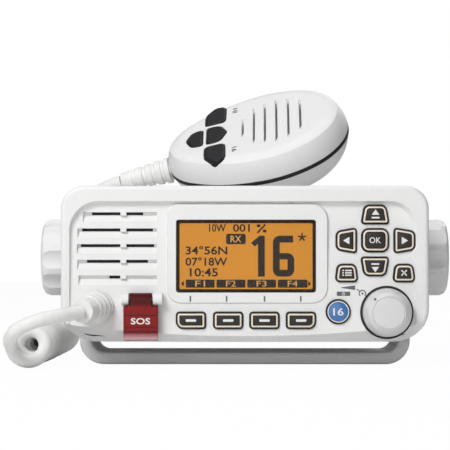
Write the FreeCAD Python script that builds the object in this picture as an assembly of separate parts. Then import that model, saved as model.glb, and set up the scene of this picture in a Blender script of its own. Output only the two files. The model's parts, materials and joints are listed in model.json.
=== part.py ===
import FreeCAD, Part
import math
import os

# Fixed-mount VHF marine radio: radio head, tilting bracket with two knobs, and a fist microphone
# on a curly cord. Millimetres. X runs to the right, Y away from the viewer and Z up. The origin is
# the centre of the bracket's four screw holes, on the underside of its base. On the front panel,
# places are given as X and a height from the panel's centre.

V = FreeCAD.Vector

# Front panel
PANEL_W = 156.5
PANEL_H = 66.5
PANEL_Z = 43.9  # height of the panel's centre
PANEL_TOP_R = 9.8
PANEL_BOTTOM_R = 14.5
FRONT_Y = -52.0
PANEL_BACK_Y = -32.0
PANEL_TAPER_Y = -43.0  # from here back the sides draw in
PANEL_DRAW_IN = 3.0
PANEL_EDGE_R = 1.8
WALL = 2.4
INNER_Y = -47.0  # inside of the front wall
FLOOR_DEPTH_TOP = 2.6  # the sunk face is deeper at its top than at its chin
FLOOR_DEPTH_CHIN = 0.7
FLOOR_TOP_Z = 27.0
FLOOR_CHIN_Z = -30.0
SUNK_LEFT = -74.7
SUNK_RIGHT = 73.6
SUNK_TOP = 26.8
CHIN_MIDDLE_Z = -30.2  # upper edge of the bevel under the keys, at the middle and at the sides
CHIN_SIDE_Z = -24.8
CHIN_SLOPE = 0.75  # fall of the bevel for each millimetre back
BEZEL = (-33.6, 35.9, -17.4, 26.0)  # left, right, bottom, top of the raised display surround
BEZEL_Y = -51.4
WINDOW = (-29.2, 30.3, -12.2, 18.8)  # left, right, bottom, top of the display opening
WINDOW_Y = -51.2
WINDOW_T = 1.4
LCD_BORDER = 1.35
FIT = 0.1

# Loudspeaker and its grille
SPEAKER_X = -54.3
SPEAKER_Z = 10.0
SPEAKER_R = 16.7
LOUVRE_Z = (21.4, 14.5, 7.8, 1.1, -5.6)
LOUVRE_LEFT = (-68.9, -71.2, -71.4, -71.2, -70.7)
LOUVRE_RIGHT = -37.4
LOUVRE_SLOT = 1.2
LOUVRE_SCOOP = 2.8
SOUND_WINDOW_R = 15.8
RIB_X = -51.7
RIB_W = 2.5

# Keys
KEY_PROUD = 1.5
KEY_GAP = 0.25
KEY_FLANGE = 0.8
KEY_TRAVEL = 0.8
SOFT_KEY_X = (-22.8, -7.0, 8.4, 23.9)
SOFT_KEY_Z = -24.0
SOFT_KEY_W = 12.5
SOFT_KEY_H = 7.0
CHANNEL_KEY = (39.7, -20.3)
CHANNEL_KEY_R = 5.1
BOARD_FRONT_Y = -42.5
BOARD_T = 1.5

# Volume knob and encoder
VOLUME = (60.3, -20.6)
VOLUME_R = 10.3
VOLUME_FRONT_Y = -66.0
VOLUME_BACK_Y = -50.7
SHAFT_R = 3.0
ENCODER_W = 11.0
RUNNING = 0.05

# Distress key and its cover
COVER_X = -44.0
HINGE_Z = -14.9
HINGE_Y = -53.7
HINGE_R = 2.6
HINGE_PIN_R = 0.8
COVER_W = 14.6
COVER_NECK_W = 9.6
COVER_WALL = 1.1
EAR_LEFT = (-52.1, -49.2)
EAR_RIGHT = (-38.8, -34.9)

# Chassis
CHASSIS_HALF_W = 64.5
CHASSIS_TOP = 69.9
CHASSIS_BOTTOM = 17.0
CHASSIS_BACK_Y = 50.0
FIN_BACK_Y = 58.0
FIN_STEP = 4.6
CHASSIS_WALL = 2.6
CHASSIS_R = 5.0
SCREW_AT = (69.0, 23.4)
ANTENNA = (44.0, 46.0)
GLAND_AT = ((-44.0, 52.0), (-44.0, 32.0))

# Bracket and its knobs
TILT_Z = 46.8
BRACKET_HALF_W = 72.3
BRACKET_T = 5.0
BRACKET_HALF_DEPTH = 25.0
BRACKET_CORNER_R = 10.6
BASE_HOLE_R = 2.7
BASE_HOLE_X = 45.0
BASE_HOLE_Y = 14.0
STUD_R = 3.0
BOSS_FACE = 66.2
KNOB_R = 17.0
KNOB_INNER = 72.5
KNOB_OUTER = 90.7
KNOB_FLUTES = 10
KNOB_PHASE = 32.6

# Microphone cord and its gland
CORD_D = 5.8
GLAND_X = -63.1
GLAND_Z = -18.4
GLAND_R = 7.3
GLAND_END = V(-67.6, -70.0, 24.0)
COIL_X = -91.0
COIL_D = 19.0
COIL_FRONT_Y = -66.0
COIL_BACK_Y = 94.0

# Handset, in its own frame: x along it to the head end, y across it, z out of its face
MIC_CENTRE = V(4.24, 10.0, 106.26)
MIC_LONG = V(0.9639, -0.1463, 0.2224)
MIC_OUT = V(-0.2661, -0.5062, 0.8203)
MIC_MID_X = -1.0
MIC_MID_Y = 1.7
MIC_EGG = 0.16  # how much wider the head end is than the cord end
MIC_PARTING = -11.5
MIC_SEAL_T = 1.2
MIC_SLOT_X = (-5.4, -0.1, 5.1, 10.5, 16.1, 21.7)
MIC_SLOT_LENGTH = (10.8, 27.4, 32.2, 35.1, 31.1, 22.9)
RELIEF_Z = -12.4
MIC_SCREWS = ((-24.0, MIC_MID_Y), (24.0, MIC_MID_Y + 12), (24.0, MIC_MID_Y - 12))


def export(node, shape):
    shape = shape.removeSplitter()
    if not shape.isValid():
        print("not valid:", node)
    shape.exportStep("parts/" + node + ".step")


def box(x0, x1, y0, y1, z0, z1):
    return Part.makeBox(x1 - x0, y1 - y0, z1 - z0, V(x0, y0, z0))


def rod(start, end, radius):
    return Part.makeCylinder(radius, (end - start).Length, start, end - start)


def tube_ring(start, end, outer, inner):
    return rod(start, end, outer).cut(rod(start, end, inner))


def front(y):
    """Maps a place on the front panel, X and height from its centre, to a point at depth y."""
    return lambda a, b: V(a, y, b + PANEL_Z)


def side(x):
    """Maps a depth and a height to a point on the plane at x."""
    return lambda a, b: V(x, a, b)


def level(z):
    """Maps x and y to a point at height z."""
    return lambda a, b: V(a, b, z)


def outline(corners, at):
    """A closed wire of straight runs through (a, b, radius) corners, each rounded to its radius."""
    points = [at(a, b) for a, b, _ in corners]
    starts, middles, ends = [], [], []
    for i, corner in enumerate(points):
        back = (points[i - 1] - corner).normalize()
        ahead = (points[(i + 1) % len(points)] - corner).normalize()
        radius, half = corners[i][2], back.getAngle(ahead) / 2
        cut = radius / math.tan(half)
        starts.append(corner + back * cut)
        ends.append(corner + ahead * cut)
        middles.append(corner + (back + ahead).normalize() * (radius / math.sin(half) - radius))
    edges = []
    for i in range(len(points)):
        if corners[i][2] > 0:
            edges.append(Part.Arc(starts[i], middles[i], ends[i]).toShape())
        following = starts[(i + 1) % len(points)]
        if (following - ends[i]).Length > 1e-4:
            edges.append(Part.makeLine(ends[i], following))
    return Part.Wire(edges)


def rectangle(left, right, bottom, top, radii):
    """Corners of a rectangle; radii are those of its lower left, lower right, upper right, upper left."""
    places = ((left, bottom), (right, bottom), (right, top), (left, top))
    return [(a, b, r) for (a, b), r in zip(places, radii)]


def prism(corners, y0, y1, grow=0.0):
    """A panel outline, grown all round, from depth y0 back to y1."""
    wire = outline(corners, front(y0))
    if grow:
        wire = wire.makeOffset2D(grow)
    return Part.Face(wire).extrude(V(0, y1 - y0, 0))


def panel_profile(corners, left, right):
    """A section in depth and height on the panel, carried from one X to another."""
    return Part.Face(outline(corners, lambda a, b: V(left, a, b + PANEL_Z))).extrude(V(right - left, 0, 0))


def lofted(sections, ruled=True):
    return Part.makeLoft(sections, True, ruled)


def turned(profile, origin, axis):
    """A solid of revolution: profile lists (distance along the axis, radius) from end to end."""
    axis = V(axis).normalize()
    across = axis.cross(V(0.31, 0.67, 0.88)).normalize()
    points = [origin + axis * along + across * radius for along, radius in profile]
    closed = [p for i, p in enumerate(points) if i == 0 or (p - points[i - 1]).Length > 1e-6]
    face = Part.Face(Part.makePolygon(closed + [closed[0]]))
    return face.revolve(origin, axis, 360)


def edges_at(shape, test):
    """The edges whose every end and middle passes the test."""
    found = []
    for edge in shape.Edges:
        halfway = edge.valueAt((edge.FirstParameter + edge.LastParameter) / 2)
        if all(test(p) for p in [halfway] + [v.Point for v in edge.Vertexes]):
            found.append(edge)
    return found


def floor_y(z):
    """Depth of the panel's sunk face at a height from the panel's centre."""
    share = (z - FLOOR_CHIN_Z) / (FLOOR_TOP_Z - FLOOR_CHIN_Z)
    return FRONT_Y + FLOOR_DEPTH_CHIN + share * (FLOOR_DEPTH_TOP - FLOOR_DEPTH_CHIN)


def panel_rectangle(inset):
    w, h = PANEL_W / 2 - inset, PANEL_H / 2 - inset
    low, high = max(PANEL_BOTTOM_R - inset, 1.5), max(PANEL_TOP_R - inset, 1.5)
    return rectangle(-w, w, -h, h, (low, low, high, high))


def tapered_key(x, z, w, h, narrow, towards, wide_r, narrow_r):
    """Corners of a key that narrows towards one side, by narrow at each end of that side."""
    sign = 1 if towards in ("top", "right") else -1
    if towards in ("top", "bottom"):
        corners = [(x - w / 2, z - sign * h / 2, wide_r), (x + w / 2, z - sign * h / 2, wide_r)]
        corners += [(x + w / 2 - narrow, z + sign * h / 2, narrow_r),
                    (x - w / 2 + narrow, z + sign * h / 2, narrow_r)]
    else:
        corners = [(x - sign * w / 2, z - h / 2, wide_r), (x + sign * w / 2, z - h / 2 + narrow, narrow_r)]
        corners += [(x + sign * w / 2, z + h / 2 - narrow, narrow_r),
                    (x - sign * w / 2, z + h / 2, wide_r)]
    return corners


def soft_key(number):
    x, w, h = SOFT_KEY_X[number], SOFT_KEY_W / 2, SOFT_KEY_H / 2
    low_left = 3.0 if number == 0 else 1.4
    low_right = 3.0 if number == 3 else 1.4
    return rectangle(x - w, x + w, SOFT_KEY_Z - h, SOFT_KEY_Z + h, (low_left, low_right, 1.4, 1.4))


def key_outlines():
    """Each key's corners on the panel's face."""
    keys = {
        "key_up": tapered_key(55.5, 21.0, 12.0, 8.0, 1.4, "top", 1.2, 2.6),
        "key_down": tapered_key(55.3, -1.1, 12.0, 8.0, 1.4, "bottom", 1.2, 2.6),
        "key_left": tapered_key(43.2, 9.9, 8.7, 10.8, 1.5, "left", 1.2, 2.4),
        "key_right": tapered_key(67.9, 9.9, 8.9, 10.8, 1.5, "right", 1.2, 2.4),
        "key_enter": rectangle(49.7, 61.2, 5.1, 15.0, (3.0, 3.0, 3.0, 3.0)),
        "key_menu": tapered_key(43.3, -3.9, 9.8, 7.5, 1.0, "top", 1.8, 2.4),
        "key_clear": tapered_key(67.6, -3.9, 9.6, 7.5, 1.0, "top", 1.8, 2.4),
    }
    for number in range(len(SOFT_KEY_X)):
        keys["key_soft_" + str(number + 1)] = soft_key(number)
    return keys


def middle(corners):
    xs, zs = [c[0] for c in corners], [c[1] for c in corners]
    return (min(xs) + max(xs)) / 2, (min(zs) + max(zs)) / 2


KEY_PLACES = [middle(corners) for corners in key_outlines().values()] + [CHANNEL_KEY]
DISTRESS_KEY = rectangle(COVER_X - 4.6, COVER_X + 4.6, -27.0, -20.0, (1.0, 1.0, 1.0, 1.0))


def panel_block():
    """The moulding's outside: straight sides at the front, drawn in towards the back."""
    straight = prism(panel_rectangle(0), FRONT_Y, PANEL_TAPER_Y)
    rim = edges_at(straight, lambda p: abs(p.y - FRONT_Y) < 1e-4)
    straight = straight.makeFillet(PANEL_EDGE_R, rim)
    drawn = lofted([outline(panel_rectangle(0), front(PANEL_TAPER_Y)),
                    outline(panel_rectangle(PANEL_DRAW_IN), front(PANEL_BACK_Y))])
    return straight.fuse(drawn)


def panel_hollow():
    straight = prism(panel_rectangle(WALL), INNER_Y, PANEL_TAPER_Y)
    drawn = lofted([outline(panel_rectangle(WALL), front(PANEL_TAPER_Y)),
                    outline(panel_rectangle(WALL + PANEL_DRAW_IN), front(PANEL_BACK_Y))])
    return straight.fuse(drawn)


def sunk_face():
    """What is cut away in front of the sunk face; its right wall has the widest slope."""
    radii = ((1.5, 1.5, 11.5, 12.5), (1.0, 1.0, 9.0, 12.0))
    low = -PANEL_H
    mouth = outline(rectangle(SUNK_LEFT, SUNK_RIGHT, low, SUNK_TOP, radii[0]), front(FRONT_Y - 0.5))
    inner = rectangle(SUNK_LEFT + 1.1, SUNK_RIGHT - 4.2, low, SUNK_TOP - 1.0, radii[1])
    deep = outline(inner, front(FRONT_Y + 3.2))
    ahead = [(FRONT_Y - 2, low - 5, 0), (FRONT_Y - 2, PANEL_H, 0), (floor_y(PANEL_H), PANEL_H, 0),
             (floor_y(low - 5), low - 5, 0)]
    return lofted([mouth, deep]).common(panel_profile(ahead, -PANEL_W, PANEL_W))


def chin():
    """The bevel under the keys: what lies below an arc, swept back and down."""
    half = PANEL_W / 2
    at = front(FRONT_Y)
    arc = Part.Arc(at(-half, CHIN_SIDE_Z), at(0, CHIN_MIDDLE_Z), at(half, CHIN_SIDE_Z)).toShape()
    corners = [at(half, CHIN_SIDE_Z), at(half, -PANEL_H), at(-half, -PANEL_H), at(-half, CHIN_SIDE_Z)]
    runs = [Part.makeLine(corners[i], corners[i + 1]) for i in range(3)]
    face = Part.Face(Part.Wire([arc] + runs))
    back = V(0, 1, -CHIN_SLOPE)
    ahead = face.copy()
    ahead.translate(back * -3)
    return ahead.extrude(back * 25)


def bezel():
    left, right, bottom, top = BEZEL
    radii = (5.5, 6.5, 6.5, 4.8)
    spread = 0.9
    base = outline(rectangle(left, right, bottom, top, radii), front(FRONT_Y + FLOOR_DEPTH_TOP + 0.6))
    inner = rectangle(left + spread, right - spread, bottom + spread, top - spread, radii)
    crown = outline(inner, front(BEZEL_Y))
    return lofted([base, crown])


def louvres():
    """The scoops of the grille, and their slots where the loudspeaker's round window is behind them."""
    tool = None
    for z, left in zip(LOUVRE_Z, LOUVRE_LEFT):
        top, low = z + LOUVRE_SLOT / 2, z - LOUVRE_SLOT / 2
        surface = floor_y(z)
        deep = surface + 1.7
        profile = [(surface - 2, top, 0), (deep, top, 0), (deep, low, 0), (surface, low - LOUVRE_SCOOP, 0),
                   (surface - 2, low - LOUVRE_SCOOP, 0)]
        scoop = panel_profile(profile, left, LOUVRE_RIGHT)
        reach = SOUND_WINDOW_R ** 2 - (z - SPEAKER_Z) ** 2
        half = math.sqrt(max(reach, 3.4 ** 2))
        slot = box(SPEAKER_X - half, SPEAKER_X + half, surface, INNER_Y + 1, low + PANEL_Z, top + PANEL_Z)
        rib = box(RIB_X - RIB_W / 2, RIB_X + RIB_W / 2, surface - 3, INNER_Y + 2, low + PANEL_Z - 0.2,
                  top + PANEL_Z + 0.2)
        cut = scoop.fuse(slot).cut(rib)
        tool = cut if tool is None else tool.fuse(cut)
    return tool


def hinge_ears():
    ears = []
    for x0, x1 in (EAR_LEFT, EAR_RIGHT):
        barrel = rod(V(x0, HINGE_Y, HINGE_Z + PANEL_Z), V(x1, HINGE_Y, HINGE_Z + PANEL_Z), HINGE_R)
        foot = box(x0, x1, HINGE_Y, floor_y(HINGE_Z) + 1, HINGE_Z - HINGE_R + PANEL_Z,
                   HINGE_Z + HINGE_R + PANEL_Z)
        ears.append(barrel.fuse(foot))
    return ears


def screw_bosses():
    bosses = []
    for sx in (-1, 1):
        for sz in (-1, 1):
            x, z = sx * SCREW_AT[0], sz * SCREW_AT[1]
            bosses.append(tube_ring(front(INNER_Y - 0.5)(x, z), front(PANEL_BACK_Y - 3.2)(x, z), 3.0, 1.5))
    return bosses


def front_panel():
    shell = panel_block().cut(panel_hollow())
    shell = shell.cut(sunk_face())
    shell = shell.fuse(bezel())
    shell = shell.cut(chin())
    for boss in screw_bosses():
        shell = shell.fuse(boss)
    for ear in hinge_ears():
        shell = shell.fuse(ear)
    shell = shell.cut(louvres())
    left, right, bottom, top = WINDOW
    shell = shell.cut(prism(rectangle(left, right, bottom, top, (1.2,) * 4), FRONT_Y - 2, INNER_Y + 2))
    for corners in list(key_outlines().values()) + [DISTRESS_KEY]:
        shell = shell.cut(prism(corners, FRONT_Y - 3, INNER_Y + 1, KEY_GAP))
    shell = shell.cut(panel_bore(CHANNEL_KEY, CHANNEL_KEY_R + KEY_GAP, FRONT_Y - 3, INNER_Y + 1))
    shell = shell.cut(panel_bore(VOLUME, VOLUME_R + 0.4, FRONT_Y - 3, FRONT_Y + 3))
    shell = shell.cut(panel_bore(VOLUME, 4.5, FRONT_Y - 3, INNER_Y + 1))
    shell = shell.cut(panel_bore((GLAND_X, GLAND_Z), 4.6, FRONT_Y - 3, INNER_Y + 1))
    hinge = front(HINGE_Y)
    return shell.cut(rod(hinge(EAR_LEFT[0] - 1, HINGE_Z), hinge(EAR_RIGHT[1] + 1, HINGE_Z), HINGE_PIN_R))


def panel_bore(place, radius, y0, y1):
    at = front(0)(*place)
    return rod(V(at.x, y0, at.z), V(at.x, y1, at.z), radius)


def pad(place, half, y0, y1):
    """A square block centred on a place on the panel."""
    x, z = place
    return prism(rectangle(x - half, x + half, z - half, z + half, (0,) * 4), y0, y1)


def key(corners):
    """A key cap with its chamfered top, the flange that holds it behind the panel, and its post."""
    x, z = middle(corners)
    top_y = floor_y(z) - KEY_PROUD
    cap = prism(corners, top_y, INNER_Y + 0.1)
    rim = edges_at(cap, lambda p: abs(p.y - top_y) < 1e-4)
    cap = cap.makeChamfer(0.45, rim)
    flange = prism(corners, INNER_Y + RUNNING, INNER_Y + RUNNING + 1.0, KEY_FLANGE)
    post = panel_bore((x, z), 1.5, INNER_Y + 1.0, BOARD_FRONT_Y - 0.5 - KEY_TRAVEL - 0.1)
    return cap.fuse(flange).fuse(post)


def channel_key():
    at = front(0)(*CHANNEL_KEY)
    top_y = floor_y(CHANNEL_KEY[1]) - KEY_PROUD
    reach = BOARD_FRONT_Y - 0.5 - KEY_TRAVEL - 0.1
    r = CHANNEL_KEY_R
    flange_y = INNER_Y + RUNNING
    profile = [(top_y, 0), (top_y, r - 0.6), (top_y + 0.45, r), (flange_y, r), (flange_y, r + KEY_FLANGE),
               (flange_y + 1.0, r + KEY_FLANGE), (flange_y + 1.0, 1.5), (reach, 1.5), (reach, 0)]
    return turned(profile, V(at.x, 0, at.z), V(0, 1, 0))


def keypad_mat():
    right = prism(rectangle(37.2, 74.0, -29.0, 26.6, (2, 12, 6, 2)), -45.0, -44.0)
    low = prism(rectangle(-31.0, 38.0, -29.0, -17.0, (1,) * 4), -45.0, -44.0)
    mat = right.fuse(low)
    for place in KEY_PLACES:
        mat = mat.cut(pad(place, 2.2, -46, -43))
    for sign in (-1, 1):
        mat = mat.cut(panel_bore((SCREW_AT[0], sign * SCREW_AT[1]), 3.4, -46, -43))
    x, z = VOLUME
    return mat.cut(prism(rectangle(x - 7, x + 7, z - 7, z + 7, (1,) * 4), -46, -43))


def front_board():
    board = prism(rectangle(-35.0, 73.2, -29.0, 27.5, (1, 11, 6, 1)), BOARD_FRONT_Y, BOARD_FRONT_Y + BOARD_T)
    for sign in (-1, 1):
        board = board.cut(panel_bore((SCREW_AT[0], sign * SCREW_AT[1]), 3.5, -46, -40))
    for place in KEY_PLACES:
        board = board.fuse(pad(place, 2.2, BOARD_FRONT_Y - 0.5, BOARD_FRONT_Y))
    ear = prism(rectangle(-49.5, -34.0, -29.0, -17.0, (1,) * 4), BOARD_FRONT_Y, BOARD_FRONT_Y + BOARD_T)
    dome = pad(middle(DISTRESS_KEY), 2.2, BOARD_FRONT_Y - 0.5, BOARD_FRONT_Y)
    return board.fuse(ear).fuse(dome)


def display_parts():
    left, right, bottom, top = WINDOW
    glass_back = WINDOW_Y + WINDOW_T
    outer = rectangle(left + FIT, right - FIT, bottom + FIT, top - FIT, (1.1,) * 4)
    b = LCD_BORDER
    inner = rectangle(left + b, right - b, bottom + b, top - b, (0.8,) * 4)
    export("display_window", prism(outer, WINDOW_Y, glass_back))
    export("display_frame", prism(outer, glass_back, INNER_Y).cut(prism(inner, glass_back - 1, INNER_Y + 1)))
    face = prism(inner, glass_back + 0.1, INNER_Y + 0.1, -FIT)
    block = rectangle(left - 1.5, right + 1.5, bottom - 2.5, top + 2.5, (1,) * 4)
    export("lcd_module", face.fuse(prism(block, INNER_Y, BOARD_FRONT_Y)))


def speaker_parts():
    at = front(0)(SPEAKER_X, SPEAKER_Z)
    origin, back = V(at.x, INNER_Y, at.z), V(0, 1, 0)
    r = SPEAKER_R
    export("speaker_membrane", turned([(0, 0), (0, r), (0.3, r), (0.3, 0)], origin, back))
    basket = [(0.3, r - 2), (0.3, r), (1.8, r), (1.8, r - 1.5), (6.5, 10.0), (6.5, 9.4), (11.5, 9.4),
              (11.5, 0), (7.0, 0), (7.0, 8.6), (6.0, 9.2), (1.6, r - 2)]
    export("speaker_frame", turned(basket, origin, back))
    cone = [(0.6, r - 2.1), (1.2, r - 2.1), (5.6, 5.0), (5.6, 0), (4.6, 0), (4.2, 3.0), (5.0, 4.6)]
    export("speaker_cone", turned(cone, origin, back))


def encoder_parts():
    at = front(0)(*VOLUME)
    origin, back = V(at.x, 0, at.z), V(0, 1, 0)
    x, z = VOLUME
    half = ENCODER_W / 2
    body = prism(rectangle(x - half, x + half, z - half, z + half, (0.8,) * 4), INNER_Y, BOARD_FRONT_Y)
    body = body.fuse(panel_bore(VOLUME, 4.3, FRONT_Y + 3.4, INNER_Y + 0.1))
    body = body.cut(panel_bore(VOLUME, SHAFT_R + RUNNING, FRONT_Y, -45.6))
    body = body.cut(panel_bore(VOLUME, 4.7, -45.7, -44.2))
    body = body.cut(panel_bore(VOLUME, 2.4, -44.3, BOARD_FRONT_Y - 0.2))
    export("encoder_body", body)
    rotor = tube_ring(V(at.x, -45.6, at.z), V(at.x, -44.3, at.z), 4.65, 2.0 + RUNNING)
    export("encoder_rotor", rotor)
    shaft = [(-63.0, 0), (-63.0, SHAFT_R), (-46.7, SHAFT_R), (-46.7, 2.0), (-43.6, 2.0), (-43.6, 0)]
    export("volume_shaft", turned(shaft, origin, back))
    y0, y1, r = VOLUME_BACK_Y, VOLUME_FRONT_Y, VOLUME_R
    knob = [(y0, r - 0.5), (y0 - 0.5, r), (y0 - 7.0, r - 0.15), (y0 - 10.6, r - 0.75), (y0 - 13.2, r - 1.7),
            (y1 + 0.9, r - 2.8), (y1 + 0.3, r - 3.3), (y1 + 0.55, r - 3.6), (y1 + 0.15, r - 3.9), (y1, 3.0),
            (y1, 0), (-63.2, 0), (-63.2, SHAFT_R), (-53.2, SHAFT_R), (-53.2, 5.0), (y0, 5.0)]
    export("volume_knob", turned(knob, origin, back))


def distress_parts():
    pin_z = HINGE_Z + PANEL_Z
    pin = rod(V(EAR_LEFT[0] + 0.3, HINGE_Y, pin_z), V(EAR_RIGHT[1] - 0.3, HINGE_Y, pin_z), HINGE_PIN_R)
    export("hinge_pin", pin)
    neck = (COVER_X - COVER_NECK_W / 2, COVER_X + COVER_NECK_W / 2)
    barrel = rod(V(neck[0], HINGE_Y, pin_z), V(neck[1], HINGE_Y, pin_z), HINGE_R)
    half = COVER_W / 2
    face_y = HINGE_Y - HINGE_R
    rest_y = floor_y(-24.0) - 0.35
    strap = [(face_y, HINGE_Z, 0), (face_y, -18.6, 0), (face_y + 1.6, -18.6, 0), (face_y + 2.2, HINGE_Z, 0)]
    strap = panel_profile(strap, *neck)
    flap = [(face_y, -17.7, 0.8), (rest_y, -17.7, 0), (rest_y, -29.0, 0), (FRONT_Y + 0.2, -30.6, 0),
            (FRONT_Y - 0.2, -32.6, 0.3), (face_y + 1.0, -32.2, 0.6), (face_y - 0.3, -29.2, 0.8)]
    flap = panel_profile(flap, COVER_X - half, COVER_X + half)
    ceiling = -17.7 - COVER_WALL
    inner = [(face_y + COVER_WALL, ceiling, 0.4), (rest_y + 2, ceiling, 0), (rest_y + 2, -29.0, 0),
             (face_y + COVER_WALL, -29.0, 0.4)]
    flap = flap.cut(panel_profile(inner, COVER_X - half + COVER_WALL, COVER_X + half - COVER_WALL))
    cover = barrel.fuse(strap).fuse(flap)
    bore = rod(V(neck[0] - 1, HINGE_Y, pin_z), V(neck[1] + 1, HINGE_Y, pin_z), HINGE_PIN_R + RUNNING)
    export("distress_cover", cover.cut(bore))
    x, z = middle(DISTRESS_KEY)
    top_y = floor_y(z) - 1.2
    cap = prism(DISTRESS_KEY, top_y, INNER_Y + 0.1)
    cap = cap.makeChamfer(0.4, edges_at(cap, lambda p: abs(p.y - top_y) < 1e-4))
    flange = prism(DISTRESS_KEY, INNER_Y + RUNNING, INNER_Y + RUNNING + 1.0, KEY_FLANGE)
    post = panel_bore((x, z), 1.5, INNER_Y + 1.0, BOARD_FRONT_Y - 0.5 - KEY_TRAVEL - 0.1)
    export("distress_key", cap.fuse(flange).fuse(post))


def cord_gland():
    """Foot on the panel, tail through its wall, and a bellows of three ribs that leans to the left."""
    foot_y = floor_y(GLAND_Z - GLAND_R) - RUNNING
    at = front(0)(GLAND_X, GLAND_Z)
    foot = rod(V(at.x, foot_y, at.z), V(at.x, foot_y - 2.2, at.z), GLAND_R)
    tail = rod(V(at.x, foot_y - 0.5, at.z), V(at.x, INNER_Y + 3.0, at.z), 4.4)
    start = V(at.x, foot_y - 1.6, at.z)
    axis = GLAND_END - start
    length = axis.Length
    wave = [(0, 0), (0, 6.9), (2.2, 7.0), (3.4, 6.2), (4.6, 6.7), (6.0, 6.6), (7.2, 5.7), (8.4, 6.2),
            (9.8, 6.0), (11.0, 5.1), (12.2, 5.6), (length - 3.0, 5.2), (length, 4.7), (length, 0)]
    return foot.fuse(tail).fuse(turned(wave, start, axis))


def chassis():
    """The cast box with its flange in the panel's back, its fins, side bosses and rear bores."""
    w, t = CHASSIS_HALF_W, CHASSIS_WALL
    low, high = CHASSIS_BOTTOM - PANEL_Z, CHASSIS_TOP - PANEL_Z
    case = prism(rectangle(-w, w, low, high, (CHASSIS_R,) * 4), PANEL_BACK_Y, CHASSIS_BACK_Y)
    inset = WALL + PANEL_DRAW_IN + 0.15
    flange = prism(panel_rectangle(inset), PANEL_BACK_Y - 3.0, PANEL_BACK_Y + 0.5)
    case = case.fuse(flange)
    fins = []
    for i in range(13):
        x = (i - 6) * FIN_STEP
        fins.append(box(x - 1, x + 1, CHASSIS_BACK_Y - 0.5, FIN_BACK_Y, CHASSIS_BOTTOM + 4, CHASSIS_TOP - 4))
    pads = [panel_bore((ANTENNA[0], ANTENNA[1] - PANEL_Z), 11.0, CHASSIS_BACK_Y - 0.5, CHASSIS_BACK_Y + 3.0)]
    for x, z in GLAND_AT:
        pads.append(panel_bore((x, z - PANEL_Z), 8.0, CHASSIS_BACK_Y - 0.5, CHASSIS_BACK_Y + 3.0))
    for addition in fins + pads:
        case = case.fuse(addition)
    for sign in (-1, 1):
        for i in range(6):
            x = sign * (36.0 + FIN_STEP * i)
            groove = box(x - 1.3, x + 1.3, -26.0, CHASSIS_BACK_Y + 1, CHASSIS_TOP - 1.4, CHASSIS_TOP + 1)
            case = case.cut(groove)
        boss = rod(V(sign * (w - 1), 0, TILT_Z), V(sign * BOSS_FACE, 0, TILT_Z), 12.0)
        case = case.fuse(boss)
    inside = rectangle(-w + t, w - t, low + t, high - t - 1.0, (CHASSIS_R - t,) * 4)
    case = case.cut(prism(inside, PANEL_BACK_Y - 4, CHASSIS_BACK_Y - t))
    for sign in (-1, 1):
        case = case.fuse(rod(V(sign * (w - t - 9), 0, TILT_Z), V(sign * (w - 1), 0, TILT_Z), 7.5))
        case = case.cut(rod(V(sign * (w - t - 10), 0, TILT_Z), V(sign * (w + 5), 0, TILT_Z), 5.0))
        for sz in (-1, 1):
            case = case.cut(panel_bore((sign * SCREW_AT[0], sz * SCREW_AT[1]), 1.6, -40, -28))
    for x in (-50.0, 50.0):
        for y in (-20.0, 36.0):
            case = case.fuse(rod(V(x, y, CHASSIS_BOTTOM + 1), V(x, y, 25.0), 3.0))
    x, z = ANTENNA
    case = case.cut(panel_bore((x, z - PANEL_Z), 7.0, CHASSIS_BACK_Y - 5, CHASSIS_BACK_Y + 5))
    for x, z in GLAND_AT:
        case = case.cut(panel_bore((x, z - PANEL_Z), 5.0, CHASSIS_BACK_Y - 5, CHASSIS_BACK_Y + 5))
    return case


def rear_parts():
    at = V(ANTENNA[0], CHASSIS_BACK_Y + 3.0, ANTENNA[1])
    back = V(0, 1, 0)
    shell = [(-9, 0), (-9, 6.9), (0.05, 6.9), (0.05, 9.5), (2.0, 9.5), (2.0, 7.95), (13.0, 7.95), (13.5, 7.4),
             (13.5, 6.2), (4.0, 6.2), (4.0, 0)]
    export("antenna_socket", turned(shell, at, back))
    core = [(4.0, 1.9), (4.0, 6.2), (10.5, 6.2), (10.5, 3.4), (12.0, 3.4), (12.0, 1.9)]
    export("antenna_insulator", turned(core, at, back))
    glands = []
    for x, z in GLAND_AT:
        lip = [(-5.6, 0), (-5.6, 4.9), (0.05, 4.9), (0.05, 7.4), (3.0, 4.6), (3.0, 2.4), (-1.0, 0)]
        glands.append(turned(lip, V(x, CHASSIS_BACK_Y + 3.0, z), back))
    export("rear_glands", Part.makeCompound(glands))


def inner_parts():
    board = box(-56.0, 56.0, -27.0, 45.0, 25.0, 26.6)
    for sign in (-1, 1):
        board = board.cut(box(sign * 58 - 9, sign * 58 + 9, -3, 3, 20, 30))
    export("main_board", board)
    can = box(-10.0, 40.0, -5.0, 40.0, 26.6, 38.0)
    export("power_shield", can.cut(box(-9.2, 39.2, -4.2, 39.2, 26.0, 37.2)))
    inset = WALL + PANEL_DRAW_IN
    groove = prism(panel_rectangle(inset + 1.0), PANEL_BACK_Y - 3.9, PANEL_BACK_Y - 3.05)
    ring = groove.cut(prism(panel_rectangle(inset + 3.0), PANEL_BACK_Y - 5, PANEL_BACK_Y - 2))
    for sx in (-1, 1):
        for sz in (-1, 1):
            ring = ring.cut(panel_bore((sx * SCREW_AT[0], sz * SCREW_AT[1]), 3.3, -40, -30))
    export("panel_seal", ring)


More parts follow.
